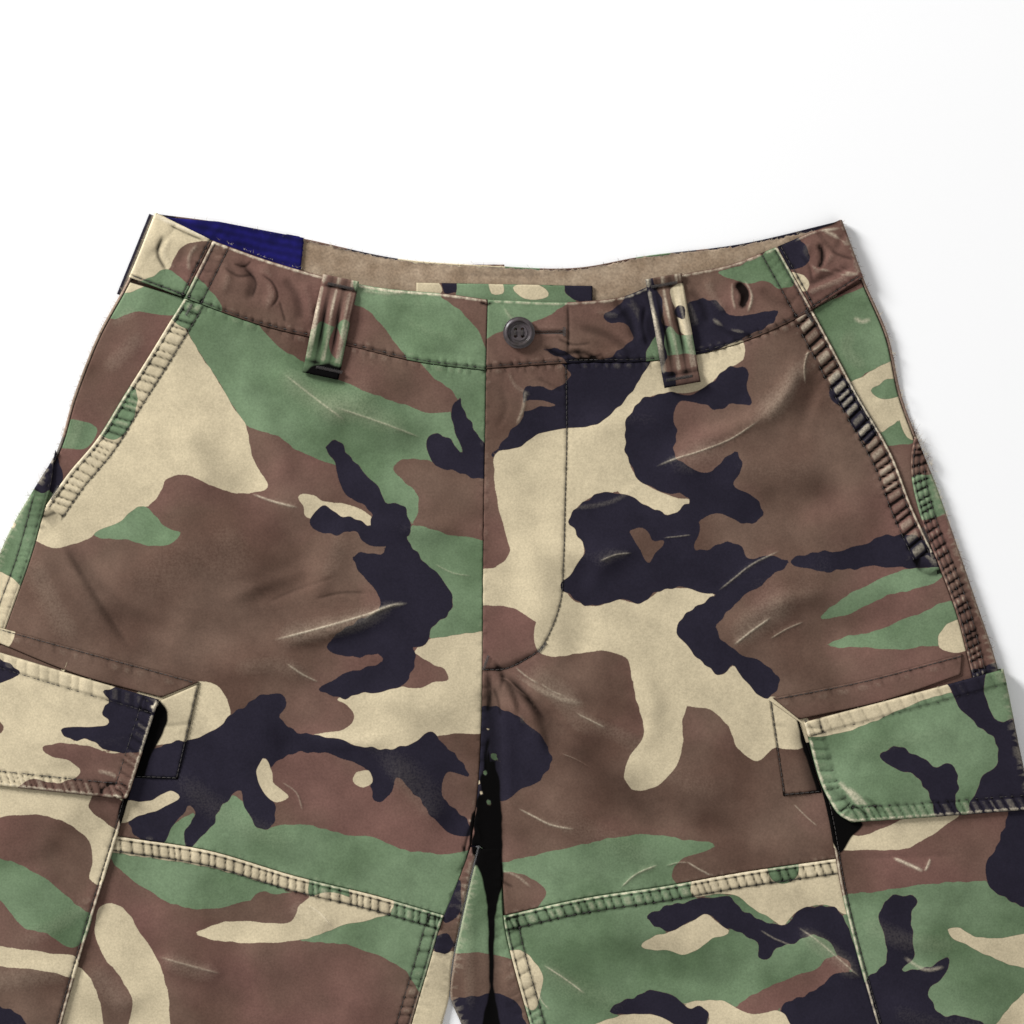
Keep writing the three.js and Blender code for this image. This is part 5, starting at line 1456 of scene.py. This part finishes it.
# Creases in the flaps: pale where rubbed, painted shade in those with wear below 0.
FLAP_CREASES = crease_rows("""
-190,-20 -230,-24 -270,-18 | 6 .4 .04; -206,-50 -210,-44 -222,-40 | 1.2 .35 .4;
-184,0 -186,-1 -189,-3 | 1.0 .4 1.2; 220,-30 262,-22 300,-14 | 8 .5 .05;
214,-34 228,-36 240,-42 | 5 -.4 -.05; 216,-48 224,-56 232,-62 | 2.2 -.4 -.4;
222,-46 230,-54 238,-64 | 1.4 .4 .7; 228,-50 236,-57 244,-66 | 1.3 .35 .6;
238,-56 244,-60 250,-67 | 1.2 -.3 -.4; -196,-36 -240,-38 -262,-44 | 5 -.4 -.1""")
for leg, side in SIGN.items():
    line = FLAP_BAND[leg]
    upper, foot = curve(line[:3]), curve(line[3:])
    seams = [seam(upper, (side * 240, 10), 0.4, 6, 0.3, 9, 0.25, rows=(1.2,), edge=0.45, seed=111 + side)]
    ring = ring_round(upper, foot[::-1])
    high = lambda p: top_height(p, level=1.1, seams=seams, rows=())
    cloth_piece(leg + "_flap_band_cloth",
                [strip_sheet(ring, BAND_PRINT[leg], high, seams, rows=())], [leg + "_flap_band"])
    front = curve(FLAP_FRONT[leg])
    if side < 0:
        front = np.vstack([front[:-2], curve([front[-2], (-203.5, -57), (-210, -57)], step=1)])
    fold_at = between(moved(side_line[leg], side * 1.4), *FLAP_SIDE[leg])
    head, foot = curve([fold_at[0], front[0]], step=2), curve([front[-1], fold_at[-1]], step=2)
    middle = (side * 270, -20)
    seams = [
        seam(head, middle, 0.6, 8.6, 0.55, 7.5, 0.3, rows=(8.9,), raised=0.3, seed=121 + side),
        seam(front, middle, 0.8, 9.0, 0.75, 5.5, 0.45, rows=(9.4,), edge=1.0, raised=0.2, slant=-0.3,
             seed=131 + side),
        seam(foot, middle, 0.8, 8.6, 0.85, 4.6, 0.65, rows=(9.0,), edge=0.8, raised=0.2, slant=0.5,
             seed=141 + side)]
    high = lambda p: top_height(p, level=FLAP_LEVEL, seams=seams, rows=FLAP_CREASES)
    fold, parts = round_the_side(leg, *FLAP_SIDE[leg], 3.0, flap_under, FLAP_PRINT[leg], high)
    ring = [(front, True), (foot, True), (fold[::-1], False), (head, True)]
    parts.append(strip_sheet(ring, FLAP_PRINT[leg], high, seams, FLAP_CREASES))
    cloth_piece(leg + "_cargo_flap_cloth", parts, [leg + "_cargo_flap"])

# ==================================================================================================
# Belt loops
# Strips of the print folded in three and topstitched, 22 mm wide, tacked down at both ends: two show
# on the front and stand a little off the waistband, three lie underneath on the back of it.
# ==================================================================================================
FRONT_LOOPS = [  # name, top end, lean in degrees, length, how far the middle stands up, twist
    ("belt_loop_front_right", (-75, 255), -12, 60, 1.6, 0.1),
    ("belt_loop_front_left", (118.5, 256), 10, 66, 2.6, -0.35),
]
BACK_LOOPS = [("belt_loop_side_right", (-180.6, 290), -22, 52), ("belt_loop_centre_back", (12, 263.5), 0, 60),
              ("belt_loop_side_left", (205, 283), 16, 60)]
LOOP_WIDTH, RIB = 22, 8.4  # across a loop, and from one of its ribs to the next
ACROSS, DOWN = 19, 49  # points of a loop's grid
# the gap row is painted shadow under the foot of the right front loop
LOOP_PRINT = patches("""
green -104,226 -92,224 -86,229 -80,226 -72,230 -66,224 -56,226 -58,200 -106,200;
brown -78,226 -74,216 -78,206 -82,214;
green -66,256 -60,256 -60,246 -66,246;
black 98,262 122,260 120,244 124,232 122,218 124,206 130,200 112,184 96,200;
brown 111,262 128,260 127,244 124,228 119,226 118,240 113,252;
sand 124,250 130,252 137,240 143,228 143,219 131,220 126,234;
green 122,226 128,221 146,222 148,202 124,203 119,214;
black 127,238 132,236 130,230 127,231;
brown 120,206 150,203 150,190 118,190;
gap -95,200 -64,192 -66,186 -98,193;
black 110,198 126,196 124,186 108,188""")


def loop_place(top, lean, across, down):
    angle = math.radians(lean)
    return np.stack([top[0] + math.cos(angle) * across + math.sin(angle) * down,
                     top[1] + math.sin(angle) * across - math.cos(angle) * down], axis=-1)


def loop_sheet(top, lean, length, heights):
    """A grid of points over a belt loop, with heights by place, across and share of the way down."""
    across, down = np.meshgrid(np.linspace(-LOOP_WIDTH / 2, LOOP_WIDTH / 2, ACROSS),
                               np.linspace(0, length, DOWN))
    u, t = across.ravel(), down.ravel() / length
    points = loop_place(top, lean, u, down.ravel())
    z, wear_and_shade = heights(points, u, t)
    corners = [j * ACROSS + i for j in range(DOWN - 1) for i in range(ACROSS - 1)]
    faces = [(k, k + ACROSS, k + ACROSS + 1, k + 1) for k in corners]
    return np.c_[points, z], faces, camouflage(points, LOOP_PRINT), wear_and_shade


for name, top, lean, length, rise, twist in FRONT_LOOPS:
    def standing(points, u, t):
        """Tacked down at both ends, where it is thickest, and ribbed and uneven where it stands up; rubbed
        pale on its ribs and edges, with painted shade in the grooves, along both folds and over the lower
        foot.
        """
        middle = smooth(0.12, 0.42, np.minimum(t, 1 - t))
        ends = 1 - smooth(0.0, 0.09, np.minimum(t, 1 - t))
        wobble = 0.5 * np.sin(t * 9 + u * 0.3) + 0.3 * np.sin(t * 23 + 1 + u * 0.1)
        ribs = np.cos(2 * np.pi * u / RIB + 0.45 * np.sin(t * 7) + 0.6)
        z = (height_on(front_top, points) + BAND_PROUD + 1.7 + rise * middle * (1 + twist * u / 11)
             + 0.6 * ribs * middle + 0.25 * wobble * middle + 0.9 * ends)
        edge = np.exp(-(((np.abs(u) - 10.3) / 0.9) ** 2))
        wear_and_shade = (0.85 * np.clip(ribs, 0, 1) ** 4 * (0.6 + 0.4 * wobble)
                - 1.25 * np.clip(-ribs, 0, 1) ** 2 * (0.4 + 0.6 * middle))
        fold = np.exp(-(((t * length - 6) / 1.1) ** 2)) + np.exp(-((((1 - t) * length - 7.5) / 1.2) ** 2))
        foot = np.clip(1 - ((1 - t) * length) / 7.5, 0, 1) ** 0.5
        z = z - 0.5 * fold - 0.25 * edge
        return z, (wear_and_shade + 0.9 * edge * (0.6 + 0.4 * wobble)) * (1 - foot) - 0.9 * fold - 0.8 * foot
    cloth_piece(name + "_cloth", [loop_sheet(top, lean, length, standing)], [name],
                thickness=1.3)
for name, top, lean, length in BACK_LOOPS:
    def lying(points, u, t):
        ribs = np.cos(2 * np.pi * u / RIB)
        # pale ribs, with painted shade in the grooves between them
        return 0.45 - 0.3 * ribs, 0.4 * np.clip(ribs, 0, 1) ** 3 - 0.6 * np.clip(-ribs, 0, 1) ** 2
    points, faces, shades, wear_and_shade = loop_sheet(top, lean, length, lying)
    chart = [("black", "all")] if "right" in name else RIGHT_FRONT
    shades = camouflage(points[:, :2] + [-top[0] - 70, -25], chart)
    cloth_piece(name + "_cloth", [(points, [face[::-1] for face in faces], shades, wear_and_shade)], [name],
                thickness=1.1)

# ==================================================================================================
# Waist button
# A dark horn-coloured polyester button, 19 mm across, with a raised rim, turned rings and four holes,
# sewn on with dark thread at the right end of the waistband and pushed through the buttonhole.
# ==================================================================================================
def mottled_material(name, roughness, dark, pale, scale, detail, low, high, rough=0.5):
    """Two colours mixed by a noise; gives the material, its shader and the noise."""
    material, shader, place = blank_material(name, roughness)
    cloud = noise(material, place, scale, detail, rough)
    finish(material, shader, blend(material, spread(material, cloud, low, high), dark, pale))
    return material, shader, cloud


# moulded polyester made to look like horn: dark, softly polished, clouded with paler streaks
horn, shader, cloud = mottled_material("horn polyester", 0.5, "#37312F", "#4B4347", 220.0, 4.0, 0.35, 0.7,
                                       rough=0.6)
horn.node_tree.links.new(spread(horn, cloud, 0.3, 0.7, 0.28, 0.42), shader.inputs["Roughness"])
shader.inputs["IOR"].default_value = 1.52


def apply_modifier(obj, kind, **settings):
    modifier = obj.modifiers.new(kind.lower(), kind)
    for key, value in settings.items():
        setattr(modifier, key, value)
    bpy.context.view_layer.objects.active = obj
    bpy.ops.object.modifier_apply(modifier=modifier.name)


def pick_faces(obj, wanted):
    """In edit mode, selects the faces whose centre and normal pass a test."""
    bpy.ops.mesh.select_all(action="DESELECT")
    bpy.ops.object.mode_set(mode="OBJECT")
    for face in obj.data.polygons:
        face.select = bool(wanted(face.center, face.normal))
    bpy.ops.object.mode_set(mode="EDIT")


RADIUS, HEIGHT, HOLE_RADIUS, HOLE_SPACING = 0.0095, 0.0021, 0.001, 0.0042  # in metres
centre = Vector(((button_low.x + button_high.x) / 2, (button_low.y + button_high.y) / 2,
                 button_low.z + 0.0006))
bpy.ops.object.select_all(action="DESELECT")
bpy.ops.mesh.primitive_cylinder_add(vertices=56, radius=RADIUS, depth=HEIGHT,
                                    location=centre + Vector((0, 0, HEIGHT / 2)))
button = bpy.context.object
button.name = "waist_button_horn"
bpy.ops.object.mode_set(mode="EDIT")
bpy.ops.mesh.select_mode(type="FACE")
at_middle = lambda place, normal: normal.z > 0.9 and place.xy.length < 1e-4  # the top's middle face
RIM_AND_RINGS = [(0.0008, 0.0), (0.0009, 0.0009), (0.0007, 0.0), (0.0008, -0.0014), (0.0012, 0.0),
                 (0.0003, 0.0003), (0.0004, -0.0002)]  # how far in each ring goes, and how far up
for width, lift in RIM_AND_RINGS:
    pick_faces(button, at_middle)
    bpy.ops.mesh.inset(thickness=width)
    bpy.ops.transform.translate(value=(0, 0, lift))
bpy.ops.object.mode_set(mode="OBJECT")
bpy.ops.object.select_all(action="DESELECT")
bpy.ops.mesh.primitive_cylinder_add(vertices=20, radius=HOLE_RADIUS, depth=0.02,
                                    location=centre + Vector((-HOLE_SPACING / 2, -HOLE_SPACING / 2, 0)))
drill = bpy.context.object
drills = [drill]
for dx, dy in ((HOLE_SPACING, 0), (0, HOLE_SPACING), (HOLE_SPACING, HOLE_SPACING)):
    select_only(drill)
    bpy.ops.object.duplicate()
    bpy.ops.transform.translate(value=(dx, dy, 0))
    drills.append(bpy.context.object)
for tool in drills:
    apply_modifier(button, "BOOLEAN", operation="DIFFERENCE", object=tool, solver="EXACT")
for tool in drills:
    bpy.data.objects.remove(tool)
apply_modifier(button, "BEVEL", width=0.00022, segments=3, limit_method="ANGLE", angle_limit=math.radians(28))
select_only(button)
bpy.ops.object.transform_apply(location=True, rotation=True, scale=True)
bpy.ops.object.shade_smooth_by_angle(angle=math.radians(35))
button.data.materials.append(horn)
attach(button, "root")
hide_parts("waist_button")

# ==================================================================================================
# Sewing thread
# Dark brown spun polyester, about eight stitches to the inch, in two rows along each felled seam and
# pocket edge, one round each flap, and close bar tacks where pockets, flaps and belt loops end.
# ==================================================================================================
STITCH, PITCH = 2.7, 3.05  # length and spacing
THREAD = 0.45  # a little thicker than real so that it shows
# spun polyester: dark, matt, a little paler where it stands up and rubs
dark_thread, shader, _ = mottled_material("spun polyester thread", 0.75, "#16110F", "#3A2F28", 1500.0, 2.0,
                                          0.4, 0.75)
shader.inputs["Sheen Weight"].default_value = 0.3

bpy.ops.object.select_all(action="DESELECT")
bpy.ops.mesh.primitive_uv_sphere_add(segments=6, ring_count=4, radius=0.5, location=(0, 0, 0))
bead = bpy.context.object
bpy.ops.object.mode_set(mode="EDIT")
bpy.ops.transform.rotate(value=math.pi / 2, orient_axis="Y", center_override=(0, 0, 0))
bpy.ops.transform.resize(value=(STITCH, THREAD, THREAD * 0.8), center_override=(0, 0, 0))
bpy.ops.object.mode_set(mode="OBJECT")
bead_points = np.array([v.co[:] for v in bead.data.vertices])
bead_faces = [tuple(p.vertices) for p in bead.data.polygons]
bpy.data.objects.remove(bead)


def stitches_along(line, heights, outline):
    """Start and end of each stitch in a row, at the cloth's own height, inside a sheet's outline."""
    starts = np.arange(1.0, run(line)[-1] - STITCH, PITCH)
    if not len(starts):
        return np.empty((0, 2, 3))
    ends = []
    for shift in (0, STITCH):
        place = at(line, starts + shift)
        ends.append(np.c_[place, heights(place)[0]])
    inside = within(ends[0][:, :2], outline) & within(ends[1][:, :2], outline)
    return np.stack(ends, axis=1)[inside]


def thread_piece(name, ends, lift=0.08):
    """One mesh of stitches from their two ends, half sunk in the cloth."""
    middle = ends.mean(axis=1) + [0, 0, lift]
    along = ends[:, 1] - ends[:, 0]
    size = np.linalg.norm(along, axis=1)[:, None]
    along /= size
    across = np.cross([0, 0, 1], along)
    across /= np.linalg.norm(across, axis=1)[:, None]
    up = np.cross(along, across)
    b = bead_points
    points = (middle[:, None] + b[None, :, :1] * (size / STITCH)[:, None] * along[:, None]
              + b[None, :, 1:2] * across[:, None] + b[None, :, 2:3] * up[:, None]).reshape(-1, 3)
    faces = [tuple(v + k * len(b) for v in face) for k in range(len(ends)) for face in bead_faces]
    new_object(name, points, faces, dark_thread)


rows = [stitches_along(moved(one["line"], row), heights, outline)
        for outline, seams, heights in to_stitch for one in seams for row in one["rows"]]
thread_piece("seam_stitching", np.vstack(rows))

BAR_TACKS = [  # place, direction in degrees, length, level above the front panels
    ((-247, 126), 62, 9, 0.6), ((-166, 236), 62, 8, 0.6), ((276, 101), -68, 9, 0.8),
    ((206, 232), -58, 8, 0.8),
    ((-188, 0), -20, 8, FLAP_LEVEL), ((205, -14), -70, 8, FLAP_LEVEL), ((-82, 200), -12, 16, 2.6),
    ((-75, 250), -12, 16, 2.6), ((128, 195), 10, 16, 2.6), ((119, 251), 10, 16, 2.6), ((12, 24), 70, 9, 0.5),
    ((46, 33), 50, 7, 0.3), ((35, 222.2), 90, 5, 1.2), ((59, 222.6), 90, 5, 1.2),
]
TACK_PITCH = 0.62  # from one close stitch to the next
tacks = []
for place, turn, length, level in BAR_TACKS:
    way = np.array([math.cos(math.radians(turn)), math.sin(math.radians(turn))])
    cross = np.array([-way[1], way[0]])
    for t in np.arange(-length / 2, length / 2, TACK_PITCH):
        a = np.array(place) + way * t - cross * 1.05
        b = a + cross * 2.1 + way * 0.3
        z = height_on(front_top, np.array([a, b])) + level
        tacks.append([[*a, z[0]], [*b, z[1]]])
lips = []
SLIT = 24.5  # length of the buttonhole, which climbs 0.4 mm
for offset in (-0.95, 0.95):  # close stitches along both its lips
    for t in np.arange(0, SLIT, TACK_PITCH):
        a = np.array([34 + t, 222.2 + 0.4 * t / SLIT + offset * 0.35])
        b = a + [0.1, offset * 1.6]
        z = top_height(np.array([a, b]), level=BAND_PROUD)[0]
        lips.append([[*a, z[0]], [*b, z[1]]])
on_button = (centre.z + 0.00195) * 1000
cross_threads = [[[*(BUTTON_AT + [dx, dy]), on_button] for dy in (-2.0, 2.0)]
                 for dx in (-2.4, -2.0, 1.9, 2.3)]
thread_piece("bar_tacks_and_buttonhole", np.array(tacks + lips + cross_threads), lift=0.25)

# ==================================================================================================
# Frayed yarns
# Loose cotton ends, cream and brown, that washing has pulled out of the turned edges: along both
# hips, round the top of the facing and at the corners of flaps and felled seams.
# ==================================================================================================
yarn_cotton, _, _ = mottled_material("loose cotton yarn", 0.95, "#C9BCA3", "#6A584C", 260.0, 2.0, 0.42,
                                     0.58)  # undyed cream and printed brown, fuzzy and matt
hips = {leg: between(side_line[leg], 252, -225) for leg in SIGN}
FRAYED = [  # line, how many, length, side they stand out on
    (hips["right"], 380, 2.8, -1), (hips["left"], 420, 3.0, 1), (facing_top_line, 260, 2.2, 1),
    (curve([(226, 290), (239, 255)]), 60, 2.6, 1), (curve([(-187, 294), (-203, 255)]), 26, 1.8, -1),
    (curve([(268, 168), (276, 150), (282, 138)]), 50, 4.5, 1), (curve(FRONT_TOP["left"]), 70, 1.4, 1),
    (curve([(-150, 279), (-112, 265), (-80, 256)]), 46, 1.4, 1),
]
RINGS = 5  # along each yarn, of three points each
strand_points, strand_faces = [], []
for line, count, reach, out in FRAYED:
    length = run(line)[-1]
    for _ in range(count):
        t = rng.uniform(1, length - 1)
        base = at(line, t)
        ahead = at(line, t + 1) - base
        ahead /= np.linalg.norm(ahead)
        normal = np.array([-ahead[1], ahead[0]])
        if (normal[0] * out < 0 and abs(normal[0]) > 0.5) or (abs(normal[0]) <= 0.5 and normal[1] < 0):
            normal = -normal
        on_top = abs(normal[0]) <= 0.5 and line is not facing_top_line
        level = height_on(front_top, base[None])[0] if on_top else 3.0
        start = np.r_[base - normal * 0.5, level + rng.uniform(-0.8, 0.6)]
        way = normal * rng.uniform(0.5, 1.0) + ahead * rng.normal(0, 0.8)
        curl = rng.normal(0, 0.45, 2)
        size = reach * rng.uniform(0.35, 1.2)
        first = len(strand_points)
        for k in range(RINGS):
            step = size * k / (RINGS - 1)
            spot = start + np.r_[way * step + curl * step * step / reach * 0.5, 0.15 * step]
            thick = 0.13 * (1 - 0.16 * k)
            for angle in (0.5, 2.6, 4.7):
                strand_points.append(spot + [thick * math.cos(angle) * ahead[0],
                                             thick * math.cos(angle) * ahead[1], thick * math.sin(angle)])
        for k in range(RINGS - 1):
            for i in range(3):
                a, b = first + 3 * k + i, first + 3 * k + (i + 1) % 3
                strand_faces.append((a, b, b + 3, a + 3))
        last = first + 3 * (RINGS - 1)
        strand_faces += [(first, first + 2, first + 1), (last, last + 1, last + 2)]
yarns = new_object("frayed_yarns", np.array(strand_points), strand_faces, yarn_cotton, smooth=False)

# ==================================================================================================
# Table, light and camera
# A plain white table top under soft daylight from the upper left, seen straight from above.
# ==================================================================================================
bpy.ops.object.select_all(action="DESELECT")
bpy.ops.mesh.primitive_plane_add(size=8, location=(0, 0, -0.0004))
table = bpy.context.object
table.name = "table"
paper, shader, _ = blank_material("white paper", 0.9)
shader.inputs["Base Color"].default_value = linear("#F6F6F6")
table.data.materials.append(paper)

world = bpy.data.worlds.new("studio")
bpy.context.scene.world = world
world.use_nodes = True
world.node_tree.nodes["Background"].inputs[0].default_value = (1, 1, 1, 1)
world.node_tree.nodes["Background"].inputs[1].default_value = 0.35
LAMPS = [("window", (-3.0, 2.55, 1.5), 1.17, 308), ("fill", (1.6, -0.9, 2.0), 2.0, 12)]
for name, place, size, power in LAMPS:
    lamp = bpy.data.lights.new(name, "AREA")
    lamp.shape, lamp.size, lamp.energy = "SQUARE", size, power
    holder = bpy.data.objects.new(name, lamp)
    holder.location = place
    holder.rotation_euler = (Vector((0, 0.05, 0)) - Vector(place)).to_track_quat("-Z", "Y").to_euler()
    bpy.context.scene.collection.objects.link(holder)

FRAME_WIDTH, FRAME_CENTRE, CAMERA_HEIGHT = 0.6144, (27.6, 114.6), 1.9
lens = bpy.data.cameras.new("camera")
lens.sensor_width, lens.lens = 36, 36 * CAMERA_HEIGHT / FRAME_WIDTH
camera = bpy.data.objects.new("camera", lens)
camera.location = ((FRAME_CENTRE[0] + ORIGIN[0]) / 1000, (FRAME_CENTRE[1] + ORIGIN[1]) / 1000,
                   CAMERA_HEIGHT + 0.007)
bpy.context.scene.collection.objects.link(camera)
bpy.context.scene.camera = camera
bpy.context.scene.view_settings.view_transform = "Standard"
